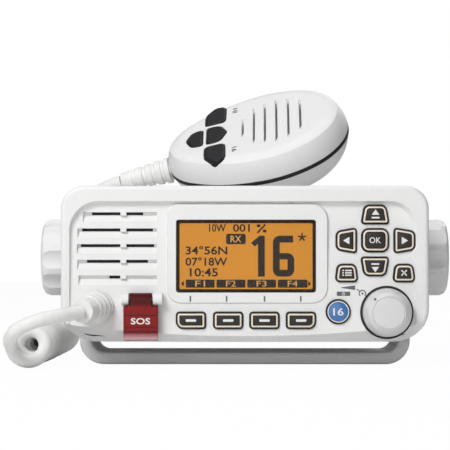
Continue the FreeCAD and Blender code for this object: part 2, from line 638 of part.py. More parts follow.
def screws():
    made = []
    for sx in (-1, 1):
        for sz in (-1, 1):
            at = front(0)(sx * SCREW_AT[0], sz * SCREW_AT[1])
            profile = [(-43.0, 0), (-43.0, 1.45), (PANEL_BACK_Y + 0.55, 1.45), (PANEL_BACK_Y + 0.55, 2.7),
                       (PANEL_BACK_Y + 2.2, 2.4), (PANEL_BACK_Y + 2.2, 0)]
            made.append(turned(profile, V(at.x, 0, at.z), V(0, 1, 0)))
    return Part.makeCompound(made)


def bracket():
    """A U of one thickness whose arms narrow to round tops at the tilt axis."""
    half, t, top = BRACKET_HALF_W, BRACKET_T, 70.0
    inner, depth = half - t, BRACKET_HALF_DEPTH
    bend = BRACKET_CORNER_R
    u_shape = [(-half, 0, bend), (half, 0, bend), (half, top, 0), (inner, top, 0), (inner, t, bend - t),
               (-inner, t, bend - t), (-inner, top, 0), (-half, top, 0)]
    body = Part.Face(outline(u_shape, lambda a, b: V(a, -depth, b))).extrude(V(0, 2 * depth, 0))
    arm, crown = 16.0, TILT_Z + 16.0
    waist = [(-depth, -1, 0), (depth, -1, 0), (depth, 9, 8), (arm, 28, 14), (arm, crown, 15.9),
             (-arm, crown, 15.9), (-arm, 28, 14), (-depth, 9, 8)]
    body = body.common(Part.Face(outline(waist, side(-half - 1))).extrude(V(2 * half + 2, 0, 0)))
    rim = edges_at(body, lambda p: abs(abs(p.x) - half) < 1e-3 or (p.z < 12 and abs(p.y) > depth - 1e-3))
    body = body.makeChamfer(0.7, [e for e in rim if e.Length > 3 and not edge_is_inside(e)])
    for sign in (-1, 1):
        body = body.cut(rod(V(sign * (inner - 1), 0, TILT_Z), V(sign * (half + 1), 0, TILT_Z), STUD_R + 0.08))
        for y in (-BASE_HOLE_Y, BASE_HOLE_Y):
            body = body.cut(rod(V(sign * BASE_HOLE_X, y, -1), V(sign * BASE_HOLE_X, y, t + 1), BASE_HOLE_R))
    return body


def edge_is_inside(edge):
    """Whether an edge of the bracket is on its inner faces or its underside's flat."""
    point = edge.valueAt((edge.FirstParameter + edge.LastParameter) / 2)
    return abs(point.y) < BRACKET_HALF_DEPTH - 0.01 and abs(point.z) < 0.01


def bracket_knob(sign):
    """A fluted knob on one side: sign is -1 on the left and 1 on the right."""
    axis = V(sign, 0, 0)
    origin = V(0, 0, TILT_Z)
    i, o, r = KNOB_INNER, KNOB_OUTER, KNOB_R
    profile = [(i, 0), (i, r - 1.6), (i + 0.5, r - 0.6), (i + 1.6, r), (o - 3.4, r), (o - 1.3, r - 0.9),
               (o - 0.3, r - 2.8), (o, r - 4.6), (o - 1.0, r - 6.0), (o - 1.0, 0)]
    knob = turned(profile, origin, axis)
    for k in range(KNOB_FLUTES):
        angle = math.radians(KNOB_PHASE + k * 360 / KNOB_FLUTES)
        reach = r + 6.3
        centre = V(0, -math.cos(angle) * reach, TILT_Z + math.sin(angle) * reach)
        knob = knob.cut(rod(centre + axis * (i - 1), centre + axis * (o + 1), 7.8))
    return knob.cut(rod(origin + axis * (i - 1), origin + axis * (o - 5), STUD_R))


def side_parts():
    inserts, washers = [], []
    for sign in (-1, 1):
        axis = V(sign, 0, 0)
        origin = V(0, 0, TILT_Z)
        inserts.append(tube_ring(origin + axis * 53.0, origin + axis * BOSS_FACE, 5.0, STUD_R + RUNNING))
        arm_face = origin + axis * (BRACKET_HALF_W - BRACKET_T - 0.1)
        washers.append(tube_ring(origin + axis * BOSS_FACE, arm_face, 11.0, 5.2))
        name = "left" if sign < 0 else "right"
        export("bracket_knob_" + name, bracket_knob(sign))
        export("knob_stud_" + name, rod(origin + axis * 55.0, origin + axis * (KNOB_OUTER - 5), STUD_R))
    export("side_inserts", Part.makeCompound(inserts))
    export("friction_washers", Part.makeCompound(washers))


def cord_tube(points, name):
    """A round tube along straight runs joined by tangent arcs as large as the runs allow."""
    edges, last, radii = [], points[0], []
    for i in range(1, len(points) - 1):
        back, ahead = points[i - 1] - points[i], points[i + 1] - points[i]
        half = back.getAngle(ahead) / 2
        cut = 0.45 * min(back.Length, ahead.Length)
        radius = cut * math.tan(half)
        radii.append(round(radius, 1))
        back.normalize()
        ahead.normalize()
        start, end = points[i] + back * cut, points[i] + ahead * cut
        deep = points[i] + (back + ahead).normalize() * (radius / math.sin(half) - radius)
        edges.append(Part.makeLine(last, start))
        edges.append(Part.Arc(start, deep, end).toShape())
        last = end
    edges.append(Part.makeLine(last, points[-1]))
    path = Part.Wire(edges)
    ring = Part.Wire([Part.makeCircle(CORD_D / 2, points[0], points[1] - points[0])])
    tube = path.makePipeShell([ring], True, True)
    expected = math.pi * CORD_D ** 2 / 4 * path.Length
    share = round(tube.Volume / expected, 4)
    print(name, "length", round(path.Length, 1), "radii", radii, "volume share", share)
    return tube


LEAD = [GLAND_END + V(-0.3, -1.2, -0.1), V(-76.5, -78.5, 22.6), V(-86.5, -82.0, 20.4), V(-94.6, -80.2, 16.6),
        V(-97.6, -73.0, 12.0), V(-97.6, COIL_FRONT_Y, 9.9)]
TAIL = [V(-84.5, 93.0, 12.0), V(-84.8, 91.0, 24.0), V(-85.0, 82.5, 35.5), V(-84.6, 71.5, 45.5),
        V(-83.6, 60.0, 54.5), V(-81.5, 49.0, 62.5), V(-77.5, 40.0, 69.5), V(-71.5, 33.0, 75.5),
        V(-64.5, 29.0, 79.9), V(-57.3, 27.6, 82.0)]


def mic_placement():
    across = MIC_OUT.cross(MIC_LONG).normalize()
    long, out = across.cross(MIC_OUT).normalize(), V(MIC_OUT).normalize()
    c = MIC_CENTRE
    rows = [(long.x, across.x, out.x, c.x), (long.y, across.y, out.y, c.y), (long.z, across.z, out.z, c.z)]
    return FreeCAD.Placement(FreeCAD.Matrix(*rows[0], *rows[1], *rows[2]))


def egg(half_length, half_width, z):
    """The handset's closed outline at one height, wider towards its head end."""
    def point(eighth):
        t = math.pi * eighth / 4
        return V(MIC_MID_X + half_length * math.cos(t),
                 MIC_MID_Y + half_width * math.sin(t) * (1 + MIC_EGG * math.cos(t)), z)

    return Part.Wire([Part.Arc(point(k), point(k + 0.5), point(k + 1)).toShape() for k in range(8)])


def mic_front_shell():
    outer = lofted([egg(42.3, 32.6, MIC_PARTING), egg(41.6, 32.0, -6.0), egg(39.6, 30.4, -1.6)], False)
    crown = lofted([egg(39.6, 30.4, -1.6), egg(37.6, 28.4, -0.6), egg(33.5, 24.0, 0.0)], False)
    shell = outer.fuse(crown)
    inner = lofted([egg(40.3, 30.6, MIC_PARTING - 1), egg(37.4, 28.2, -3.6)])
    shell = shell.cut(inner).cut(relief_port())
    for x, length in zip(MIC_SLOT_X, MIC_SLOT_LENGTH):
        half = length / 2
        slot = rectangle(x - 0.5, x + 0.5, MIC_MID_Y - half, MIC_MID_Y + half, (0.45,) * 4)
        shell = shell.cut(Part.Face(outline(slot, level(-8))).extrude(V(0, 0, 12)))
        groove = [V(a, MIC_MID_Y - half - 3, b) for a, b in ((x - 0.5, -0.9), (x + 1.9, 1.0), (x - 0.5, 1.0))]
        groove = Part.Face(Part.makePolygon(groove + [groove[0]]))
        shell = shell.cut(groove.extrude(V(0, length + 6, 0)))
    for corners in mic_key_outlines().values():
        hole = Part.Face(outline(corners, level(-8)).makeOffset2D(0.2)).extrude(V(0, 0, 12))
        shell = shell.cut(hole)
    talk = box(-22.0, 14.0, MIC_MID_Y + 20, MIC_MID_Y + 40, MIC_PARTING - 2, MIC_PARTING + 6.5)
    return shell.cut(talk)


def mic_key_outlines():
    """Each key's corners on the handset's face: two beside the middle, one towards each end."""
    high = [(-23.4, 11.6, 1.6), (-13.6, 11.6, 2.4), (-13.3, 26.5, 3.0), (-18.4, 28.4, 4.0),
            (-23.4, 22.0, 4.0)]
    low = [(-23.4, -8.2, 2.4), (-23.4, -18.6, 4.0), (-18.4, -25.0, 4.0), (-13.3, -23.1, 3.0),
           (-13.6, -8.2, 3.0)]
    rear = [(-24.2, 9.0, 1.6), (-29.5, 8.6, 4.0), (-32.6, 1.5, 5.0), (-29.5, -6.0, 4.0), (-24.2, -6.4, 1.6)]
    fore = [(-22.6, 9.6, 1.6), (-22.6, -6.2, 1.6), (-16.0, -6.0, 4.5), (-12.6, 1.8, 4.0), (-16.0, 9.6, 4.5)]
    return {"mic_key_high": high, "mic_key_low": low, "mic_key_rear": rear, "mic_key_fore": fore}


def relief_port():
    """The hole at the cord end, half in each shell, that holds the strain relief."""
    start = V(-46.0, MIC_MID_Y, RELIEF_Z)
    return rod(start, start + V(12, 0, 0), 4.05)


def mic_key(corners):
    """A rubber key whose flange stays inside the shell."""
    cap = Part.Face(outline(corners, level(-4.0))).extrude(V(0, 0, 4.5))
    cap = cap.makeChamfer(0.5, edges_at(cap, lambda p: abs(p.z - 0.5) < 1e-4))
    flange = Part.Face(outline(corners, level(-4.6)).makeOffset2D(0.45)).extrude(V(0, 0, 0.9))
    return cap.fuse(flange.common(lofted([egg(36.2, 26.8, -5.0), egg(36.2, 26.8, -3.0)])))


def handset():
    placed = mic_placement()

    def put(node, shape):
        shape.Placement = placed.multiply(shape.Placement)
        export(node, shape)

    put("mic_front_shell", mic_front_shell())
    low = MIC_PARTING - MIC_SEAL_T
    seal = lofted([egg(42.0, 32.3, low), egg(42.0, 32.3, MIC_PARTING)])
    seal = seal.cut(lofted([egg(40.2, 30.5, low - 1), egg(40.2, 30.5, MIC_PARTING + 1)]))
    talk_gap = box(-22.0, 14.0, MIC_MID_Y + 20, MIC_MID_Y + 40, low - 1, MIC_PARTING + 1)
    put("mic_seal", seal.cut(talk_gap).cut(relief_port()))
    outer = [egg(42.2, 32.5, low), egg(39.8, 30.0, -19.0), egg(32.6, 22.6, -26.4), egg(22.0, 13.6, -29.6)]
    hollow = lofted([egg(40.2, 30.5, low + 1), egg(37.2, 27.4, -19.0), egg(28.0, 19.0, -24.6)])
    rear = lofted(outer, False).cut(hollow).cut(relief_port())
    rear = rear.cut(box(-22.0, 14.0, MIC_MID_Y + 20, MIC_MID_Y + 40, -19.0, low + 1))
    for x, y in MIC_SCREWS:
        rear = rear.cut(rod(V(x, y, -40), V(x, y, -20), 2.3))
    rear = rear.cut(rod(V(0, 2.4, -40), V(0, 2.4, -26), 2.0))
    put("mic_rear_shell", rear)
    for name, corners in mic_key_outlines().items():
        put(name, mic_key(corners))
    board = lofted([egg(33.5, 26.0, -10.6), egg(33.5, 26.0, -9.2)])
    put("mic_board", board)
    out = V(0, 0, 1)
    speaker = [(-3.8, 0), (-3.8, 17.0), (-5.4, 17.0), (-8.4, 9.0), (-9.1, 9.0), (-9.1, 0)]
    put("mic_speaker", turned(speaker, V(8.0, MIC_MID_Y, 0), out))
    button = [(-41.0, 0), (-41.0, 6.4), (-40.4, 7.0), (-38.2, 7.0), (-37.8, 4.2), (-29.7, 4.2), (-29.7, 1.95),
              (-27.5, 1.95), (-27.5, 0)]
    put("hanger_button", turned(button, V(0, 2.4, 0), out))
    screw = [(-25.0, 0), (-25.0, 2.2), (-23.6, 2.2), (-23.6, 1.2), (-19.5, 1.2), (-19.5, 0)]
    put("mic_screws", Part.makeCompound([turned(screw, V(x, y, 0), out) for x, y in MIC_SCREWS]))
    ribs = [(-37.0, 0), (-37.0, 4.0), (-43.4, 4.0), (-43.4, 6.0), (-45.5, 5.9), (-46.0, 5.0), (-47.0, 5.0),
            (-47.5, 5.7), (-50.0, 5.4), (-50.5, 4.6), (-51.5, 4.6), (-52.0, 5.2), (-54.5, 5.0), (-55.0, 4.3),
            (-56.0, 4.3), (-56.5, 4.9), (-59.5, 4.6), (-60.0, 4.0), (-61.0, 4.0), (-61.5, 4.3),
            (-66.8, 3.7), (-66.8, 0)]
    put("mic_strain_relief", turned(ribs, V(0, MIC_MID_Y, RELIEF_Z), V(1, 0, 0)))
    put("talk_key", talk_key())


def talk_key():
    """The long lever on the far side of the handset: what fills the notch in its shells, a little proud."""
    grown = lofted([egg(43.4, 33.9, -19.0), egg(43.4, 33.9, -4.0)])
    shape = grown.cut(lofted([egg(39.0, 28.8, -20.0), egg(39.0, 28.8, -3.0)]))
    notch = box(-21.8, 13.8, MIC_MID_Y + 20, MIC_MID_Y + 40, -18.8, MIC_PARTING + 6.3)
    return shape.common(notch)


def main():
    os.makedirs("parts", exist_ok=True)
    export("front_panel", front_panel())
    display_parts()
    speaker_parts()
    for name, corners in key_outlines().items():
        export(name, key(corners))
    export("key_channel", channel_key())
    export("keypad_mat", keypad_mat())
    export("front_board", front_board())
    encoder_parts()
    distress_parts()
    export("cord_gland", cord_gland())
    export("chassis", chassis())
    rear_parts()
    inner_parts()
    export("panel_screws", screws())
    export("bracket", bracket())
    side_parts()
    handset()
    export("cord_lead", cord_tube(LEAD, "lead"))
    coil = rod(V(COIL_X, COIL_FRONT_Y, COIL_D / 2), V(COIL_X, COIL_BACK_Y, COIL_D / 2), COIL_D / 2)
    export("cord_coil", coil)
    export("cord_tail", cord_tube(TAIL, "tail"))


main()
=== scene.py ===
import json
import math

import bmesh
import bpy
from mathutils import Matrix, Vector


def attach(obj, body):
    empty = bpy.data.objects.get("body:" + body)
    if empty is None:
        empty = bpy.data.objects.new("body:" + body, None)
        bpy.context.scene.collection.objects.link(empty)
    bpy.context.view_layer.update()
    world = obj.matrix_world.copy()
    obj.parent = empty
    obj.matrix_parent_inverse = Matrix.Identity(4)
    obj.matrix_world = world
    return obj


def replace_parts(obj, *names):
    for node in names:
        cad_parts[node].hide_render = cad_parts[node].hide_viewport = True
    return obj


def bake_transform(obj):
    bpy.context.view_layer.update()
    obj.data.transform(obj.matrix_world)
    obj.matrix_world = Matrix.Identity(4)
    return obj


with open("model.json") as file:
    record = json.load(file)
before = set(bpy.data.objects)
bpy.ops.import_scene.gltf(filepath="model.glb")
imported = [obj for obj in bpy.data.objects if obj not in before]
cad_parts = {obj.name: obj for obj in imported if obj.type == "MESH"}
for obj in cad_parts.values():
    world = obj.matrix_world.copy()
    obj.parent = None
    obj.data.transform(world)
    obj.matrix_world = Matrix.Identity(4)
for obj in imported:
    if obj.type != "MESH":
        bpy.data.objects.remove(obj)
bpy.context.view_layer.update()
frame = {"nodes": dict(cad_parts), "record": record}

bl_info = {
    "name": "Marine Radio",
    "version": (1, 0, 0),
    "blender": (4, 5, 0),
    "location": "3D View > Sidebar > Marine Radio",
    "description": "Finishes, keys, display and curly cord of a fixed-mount marine radio",
    "category": "Object",
}

# Metres. X runs to the right, Y away from the viewer and Z up, from the centre of the bracket's foot.
MM = 0.001
PANEL_Z = 43.9 * MM  # height of the panel's centre
HEAD = "radio_head"

# Route of the microphone's cord, in millimetres: from the gland to the coil, and on to the handset.
LEAD = [(-67.9, -71.2, 23.9), (-76.5, -78.5, 22.6), (-86.5, -82.0, 20.4), (-94.6, -80.2, 16.6),
        (-97.6, -73.0, 12.0)]
TAIL = [(-84.5, 93.0, 12.0), (-84.8, 91.0, 24.0), (-85.0, 82.5, 35.5), (-84.6, 71.5, 45.5),
        (-83.6, 60.0, 54.5), (-81.5, 49.0, 62.5), (-77.5, 40.0, 69.5), (-71.5, 33.0, 75.5),
        (-64.5, 29.0, 79.9), (-57.3, 27.6, 82.0)]
COIL_CENTRE = (-91.0, 9.5)  # X and height of the coil's axis
COIL_RADIUS = 6.6  # from that axis to the middle of the jacket
COIL_FRONT = -63.0
COIL_BACK = 91.0
COIL_SWAY = 3.6  # how far the coil's front end bends to the right
COIL_WAIST = 1.7  # how much narrower the turns are behind the first
WAIST_RISE = 0.4  # share of the waist by which those turns lie higher
WAIST_SHARE = 0.3  # share of the coil's length that sways and narrows
STRAY = (0.2, 31.0)  # how far the axis strays sideways, and the radians of that wave over the coil
CROWDING = (0.5, 23.0)  # how far turns crowd and part, and the radians of that wave over the coil
POINTS_PER_TURN = 16


def colour(name, description, default):
    return bpy.props.FloatVectorProperty(name=name, description=description, default=default, size=3, min=0,
                                         max=1, subtype="COLOR")


def distance(name, description, default):
    return bpy.props.FloatProperty(name=name, description=description, default=default, min=0, precision=5,
                                   subtype="DISTANCE", unit="LENGTH")


def power(name, description, default):
    return bpy.props.FloatProperty(name=name, description=description, default=default, min=0, subtype="POWER")


def aim(name, description, degrees):
    return bpy.props.FloatProperty(name=name, description=description, default=math.radians(degrees),
                                   subtype="ANGLE")


class RadioColours(bpy.types.PropertyGroup):
    panel: colour("Panel", "Satin white of the front panel", (0.84, 0.84, 0.835))
    bracket: colour("Bracket", "White of the bracket and its knobs", (0.80, 0.80, 0.80))
    chassis: colour("Chassis", "Paint of the cast box", (0.78, 0.78, 0.78))
    handset: colour("Handset", "White of the handset's shells", (0.84, 0.84, 0.84))
    cord: colour("Cord", "Jacket of the cord, its gland and its strain relief", (0.82, 0.82, 0.81))
    cap: colour("Key cap", "Charcoal paint of the keys", (0.034, 0.031, 0.029))
    rim: colour("Key rim", "Clear silicone that shows round each key", (0.82, 0.74, 0.60))
    channel: colour("Channel key", "Blue of the round key", (0.045, 0.17, 0.44))
    distress: colour("Distress cover", "Clear red of the cover", (0.225, 0.004, 0.005))
    amber: colour("Display", "Lit amber of the display", (0.70, 0.275, 0.014))
    ink: colour("Display ink", "Dark segments of the display", (0.018, 0.008, 0.004))


class RadioSizes(bpy.types.PropertyGroup):
    cord: distance("Cord diameter", "Diameter of the cord's jacket", 5.8 * MM)
    turns: bpy.props.IntProperty(name="Coil turns", description="Turns of the curly part", default=26, min=4)
    edge: distance("Edge softening", "Radius at which sharp edges catch the light", 0.3 * MM)


class RadioStudio(bpy.types.PropertyGroup):
    camera_back: distance("Camera distance", "From the camera to the tilt axis", 0.902)
    camera_height: distance("Camera height", "Height of the camera over the floor", 0.0439)
    lens: bpy.props.FloatProperty(name="Lens", description="Focal length for a 36 mm sensor", default=160.16,
                                  min=10, subtype="DISTANCE_CAMERA")
    turn: aim("Aim left", "Turn of the camera to the left", 0.564)
    lift: aim("Aim up", "Tilt of the camera upwards", 1.113)
    room: bpy.props.FloatProperty(name="Room light", description="Strength of the even light", default=0.12,
                                  min=0)
    key_light: power("Key light", "Power of the light over the viewer's left", 8.6)
    top_light: power("Top light", "Power of the light overhead", 2.5)
    back_light: power("Back light", "Power of the light behind the radio", 5.0)
    front_light: power("Front light", "Power of the light by the camera", 3.0)


class Value:
    """A number on its way through a material: arithmetic on it adds the Math nodes that work it out."""

    def __init__(self, paint, socket):
        self.paint, self.socket = paint, socket

    def math(self, operation, first, second=0.0):
        return self.paint.node("ShaderNodeMath", {"operation": operation}, {0: first, 1: second})

    def __add__(self, other):
        return self.math("ADD", self, other)

    def __mul__(self, other):
        return self.math("MULTIPLY", self, other)

    def __gt__(self, other):
        return self.math("GREATER_THAN", self, other)

    def __lt__(self, other):
        return self.math("LESS_THAN", self, other)

    __radd__ = __add__
    __rmul__ = __mul__


MIX_SHARE, MIX_FIRST, MIX_SECOND, MIX_RESULT = 0, 6, 7, 2  # a Mix node's sockets for colours


class Paint:
    """A material, or a world, in the making. node() adds any node, and the other calls add the common ones."""

    def __init__(self, name, world=None):
        self.material = world or bpy.data.materials.new(name)
        self.material.use_nodes = True
        self.tree = self.material.node_tree
        self.surface = self.tree.nodes["Background" if world else "Principled BSDF"]

    def feed(self, socket, value):
        if isinstance(value, Value):
            self.tree.links.new(value.socket, socket)
        else:
            socket.default_value = value

    def node(self, kind, settings, inputs, output=0):
        made = self.tree.nodes.new(kind)
        for name, value in settings.items():
            setattr(made, name, value)
        for name, value in inputs.items():
            self.feed(made.inputs[name], value)
        return Value(self, made.outputs[output])

    def set(self, **inputs):
        """Sets sockets of the surface, where a plain colour is a tuple."""
        for name, value in inputs.items():
            if isinstance(value, tuple):
                value = (*value, 1.0)
            self.feed(self.surface.inputs[name.replace("_", " ").title().replace("Ior", "IOR")], value)

    def place(self):
        return self.node("ShaderNodeTexCoord", {}, {}, "Object")

    def noise(self, scale, detail=2.0, roughness=0.5):
        """Noise with about so many grains to the metre."""
        inputs = {"Vector": self.place(), "Scale": scale, "Detail": detail, "Roughness": roughness}
        return self.node("ShaderNodeTexNoise", {}, inputs)

    def climb(self, value, start, end):
        """0 up to the start and 1 from the end, in step between them."""
        return self.node("ShaderNodeMapRange", {}, {"Value": value, "From Min": start, "From Max": end})

    def blend(self, first, second, share):
        """A mix of two colours, each a plain one or one from another node."""
        first, second = (end if isinstance(end, Value) else (*end[:3], 1.0) for end in (first, second))
        inputs = {MIX_FIRST: first, MIX_SECOND: second, MIX_SHARE: share}
        return self.node("ShaderNodeMix", {"data_type": "RGBA"}, inputs, MIX_RESULT)

    def vary(self, base, low, high, mask):
        """Lets the surface's colour vary between two tones of a base, by a mask."""
        self.set(base_color=self.blend(tone(base, low), tone(base, high), mask))

    def relief(self, height, depth, edge=0.0):
        """Bump of a height in metres, on edges that a light catches as if they were rounded."""
        inputs = {"Height": height, "Distance": depth, "Strength": 1.0}
        if edge:
            inputs["Normal"] = self.node("ShaderNodeBevel", {"samples": 4}, {"Radius": edge})
        self.set(normal=self.node("ShaderNodeBump", {}, inputs))
        return self


def tone(base, factor):
    return tuple(min(1.0, c * factor) for c in base[:3])


def moulded(name, base, roughness, grain, edge):
    """Spark-textured plastic: a fine grain, with a tone and gloss that vary a little over the surface."""
    paint = Paint(name)
    cloudy = paint.noise(28.0, 3.0)
    fine = paint.noise(2400.0, 2.0, 0.6)
    paint.vary(base, 0.97, 1.015, cloudy)
    paint.set(roughness=roughness - 0.05 + cloudy * 0.06 + fine * 0.06, specular_ior_level=0.42)
    return paint.relief(fine, grain, edge).material


def painted_casting(name, base, edge):
    """Enamel on a die casting: soft orange peel and small flecks of dust under the paint."""
    paint = Paint(name)
    peel = paint.noise(900.0, 1.0)
    fleck = paint.noise(5200.0, 0.0) > 0.76
    cloudy = paint.noise(20.0, 3.0)
    paint.vary(base, 0.96, 1.02, cloudy)
    paint.set(roughness=0.34 + cloudy * 0.1, coat_weight=0.15, coat_roughness=0.25)
    return paint.relief(peel + fleck * 0.3, 0.02 * MM, edge).material


def soft_touch(name, base, roughness, edge, grain_depth=0.012 * MM):
    """Rubber or silicone: matt, with a velvety grain and handling marks."""
    paint = Paint(name)
    rub = paint.noise(160.0, 4.0, 0.7)
    grain = paint.noise(3800.0, 1.0)
    paint.vary(base, 0.85, 1.2, rub)
    paint.set(roughness=roughness - 0.08 + rub * 0.16, specular_ior_level=0.25)
    return paint.relief(grain, grain_depth, edge).material


def glossy_cap(name, base, edge):
    paint = Paint(name)
    haze = paint.noise(220.0, 3.0)
    paint.vary(base, 0.92, 1.08, haze)
    paint.set(roughness=0.2 + haze * 0.1, coat_weight=0.4, coat_roughness=0.12)
    return paint.relief(haze, 0.004 * MM, edge).material


# Heights on the panel over which the distress cover darkens with painted shade towards its hinge, and pales
# with painted light towards its lip.
HINGE_SHADE = (PANEL_Z - 18.6 * MM, PANEL_Z - 16.8 * MM)
LIP_PAINTED_LIGHT = (PANEL_Z - 29.0 * MM, PANEL_Z - 33.0 * MM)
# pink of the painted light at the distress cover's lip
LIP_LIGHT_PINK = (0.95, 0.62, 0.66)


def clear_red(name, base, edge):
    """Clear plastic dyed through: dark with painted shade over the hinge and on faces seen edge-on, red over
    the key, and pale with painted light at its lip.
    """
    paint = Paint(name)
    haze = paint.noise(90.0, 2.0)
    height = paint.node("ShaderNodeSeparateXYZ", {}, {0: paint.place()}, "Z")
    # painted shade darkens the cover towards its hinge, and painted light pales it at its lip
    body = paint.blend(base, tone(base, 0.35), paint.climb(height, *HINGE_SHADE))
    lip_lit = paint.blend(body, LIP_LIGHT_PINK, paint.climb(height, *LIP_PAINTED_LIGHT))
    # painted shade on faces seen edge-on: the more a face turns away from the view, the darker it is
    rim = paint.node("ShaderNodeLayerWeight", {}, {"Blend": 0.35}, "Facing")
    edge_shaded = paint.blend(lip_lit, tone(base, 0.2), rim)
    paint.set(base_color=edge_shaded, roughness=0.16 + haze * 0.1, specular_ior_level=0.2)
    return paint.relief(haze, 0.006 * MM, edge).material


def clear_window(name):
    paint = Paint(name)
    smear = paint.noise(60.0, 3.0)
    gloss = 0.05 + smear * 0.05
    paint.set(base_color=(0.02, 0.02, 0.02), roughness=gloss, alpha=0.05, specular_ior_level=0.5)
    paint.material.surface_render_method = "BLENDED"
    return paint.material


DOT_PITCH = 0.46 * MM
DOT_GAP = 0.12  # share of the pitch that the line between two dots takes
GLOW_SCALE = (13.0, 0.0, 17.0)  # of the brighter patch, which is an ellipse
GLOW_PLACE = (0.0, 0.0, -0.75)  # puts that patch in the middle of the display


def lit_display(name, base):
    """The lit glass of a dot-matrix display: brighter in the middle, with the dots' grid just visible."""
    paint = Paint(name)
    lines = []
    for axis in ("X", "Z"):
        along = paint.node("ShaderNodeSeparateXYZ", {}, {0: paint.place()}, axis)
        lines.append(along.math("FRACT", along * (1 / DOT_PITCH)) < DOT_GAP)
    grid = lines[0].math("MAXIMUM", lines[0], lines[1])
    patch = {"Vector": paint.place(), "Location": GLOW_PLACE, "Scale": GLOW_SCALE}
    centred = paint.node("ShaderNodeMapping", {}, patch)
    middle = paint.node("ShaderNodeTexGradient", {"gradient_type": "SPHERICAL"}, {"Vector": centred})
    glow = paint.blend(tone(base, 0.90), tone(base, 1.06), middle)
    dotted = paint.blend(glow, tone(base, 0.93), grid)
    paint.set(base_color=dotted, emission_color=dotted, emission_strength=0.1, roughness=0.5)
    return paint.material


def ink(name, base, roughness=0.6):
    """Print or display ink, a little uneven in its cover; also the dark red of the painted shade on the
    distress cover's ledges.
    """
    paint = Paint(name)
    cover = paint.noise(1400.0, 2.0)
    paint.vary(base, 0.9, 1.25, cover)
    paint.set(roughness=roughness - 0.05 + cover * 0.1)
    return paint.material


def metal(name, base, roughness, streaks):
    """Plated or turned metal, with streaks drawn out along one axis."""
    paint = Paint(name)
    stretched = paint.node("ShaderNodeMapping", {}, {"Vector": paint.place(), "Scale": streaks})
    streak = paint.node("ShaderNodeTexNoise", {}, {"Vector": stretched, "Scale": 900.0, "Detail": 3.0})
    paint.vary(base, 0.85, 1.1, streak)
    paint.set(metallic=1.0, roughness=roughness - 0.06 + streak * 0.14)
    return paint.relief(streak, 0.004 * MM, 0.2 * MM).material


def circuit_board(name):
    """Green solder mask over copper tracks."""
    paint = Paint(name)
    tracks = paint.node("ShaderNodeTexBrick", {"offset": 0.5}, {
        "Vector": paint.place(), "Scale": 160.0, "Mortar Size": 0.03, "Color1": (0.01, 0.12, 0.045, 1.0),
        "Color2": (0.012, 0.10, 0.04, 1.0), "Mortar": (0.03, 0.22, 0.08, 1.0)})
    paint.set(base_color=tracks, roughness=0.35)
    return paint.material


def speaker_paper(name):
    paint = Paint(name)
    fibre = paint.noise(1500.0, 6.0, 0.75)
    paint.set(base_color=paint.blend((0.015,) * 3, (0.035,) * 3, fibre), roughness=0.85 + fibre * 0.1)
    return paint.relief(fibre, 0.03 * MM).material


FINISHES = {}


def finishes(context):
    """Every material by its slot's name in the record, and a few more for prints and shades."""
    if FINISHES:
        return FINISHES
    c, edge = context.scene.radio_colours, context.scene.radio_sizes.edge
    recipes = {
        "panel_white": (moulded, c.panel, 0.42, 0.012 * MM, edge),
        "bracket_white": (moulded, c.bracket, 0.46, 0.02 * MM, edge),
        "mic_white": (moulded, c.handset, 0.4, 0.014 * MM, edge),
        "chassis_white": (painted_casting, c.chassis, edge),
        "cord_white": (soft_touch, c.cord, 0.45, edge, 0.003 * MM),
        "knob_satin": (moulded, (0.72, 0.72, 0.72), 0.28, 0.006 * MM, edge),
        "key_charcoal": (soft_touch, c.cap, 0.5, edge),
        "key_rim": (soft_touch, c.rim, 0.42, edge),
        "key_blue": (glossy_cap, c.channel, edge),
        "distress_red": (clear_red, c.distress, edge),
        "window_clear": (clear_window,),
        "black_plastic": (moulded, (0.012, 0.012, 0.012), 0.5, 0.01 * MM, 0.0),
        # painted shade, dark red, on the distress cover's ledges
        "distress_shade": (ink, (0.07, 0.001, 0.001), 0.7),
        "lcd_amber": (lit_display, c.amber),
        "lcd_ink": (ink, c.ink),
        "lcd_lit": (ink, (0.80, 0.42, 0.10)),
        "print_white": (ink, (0.75, 0.74, 0.72)),
        "print_grey": (ink, (0.10, 0.11, 0.13)),
        "circuit_board": (circuit_board,),
        "silicone": (soft_touch, (0.03, 0.03, 0.03), 0.6, 0.0),
        "speaker_paper": (speaker_paper,),
        "steel": (metal, (0.62, 0.62, 0.62), 0.28, (1.0, 1.0, 0.05)),
        "brass": (metal, (0.72, 0.53, 0.22), 0.3, (0.05, 1.0, 1.0)),
        "nickel": (metal, (0.70, 0.69, 0.66), 0.22, (1.0, 0.05, 1.0)),
        "insulator": (moulded, (0.82, 0.80, 0.74), 0.4, 0.008 * MM, edge),
        "mic_black": (soft_touch, (0.013, 0.013, 0.015), 0.5, edge),
    }
    FINISHES.update({name: recipe(name, *values) for name, (recipe, *values) in recipes.items()})
    return FINISHES


def finished_piece(name, mesh, paints, body):
    """A new piece of a mesh, with its finishes. It rides on its body, where it has just one."""
    piece = bpy.data.objects.new(name, mesh)
    bpy.context.scene.collection.objects.link(piece)
    for paint in paints:
        mesh.materials.append(FINISHES[paint])
    if body:
        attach(piece, body)
    return piece


def shrunk(corners, width):
    """The same outline, drawn in by a width all round."""
    made = []
    for i, (x, z, radius) in enumerate(corners):
        here = Vector((x, z))
        back = (Vector(corners[i - 1][:2]) - here).normalized()
        ahead = (Vector(corners[(i + 1) % len(corners)][:2]) - here).normalized()
        inward = (back + ahead).normalized() * width / math.sin(back.angle(ahead) / 2)
        made.append((*(here + inward), max(radius - width, 0.15)))
    return made


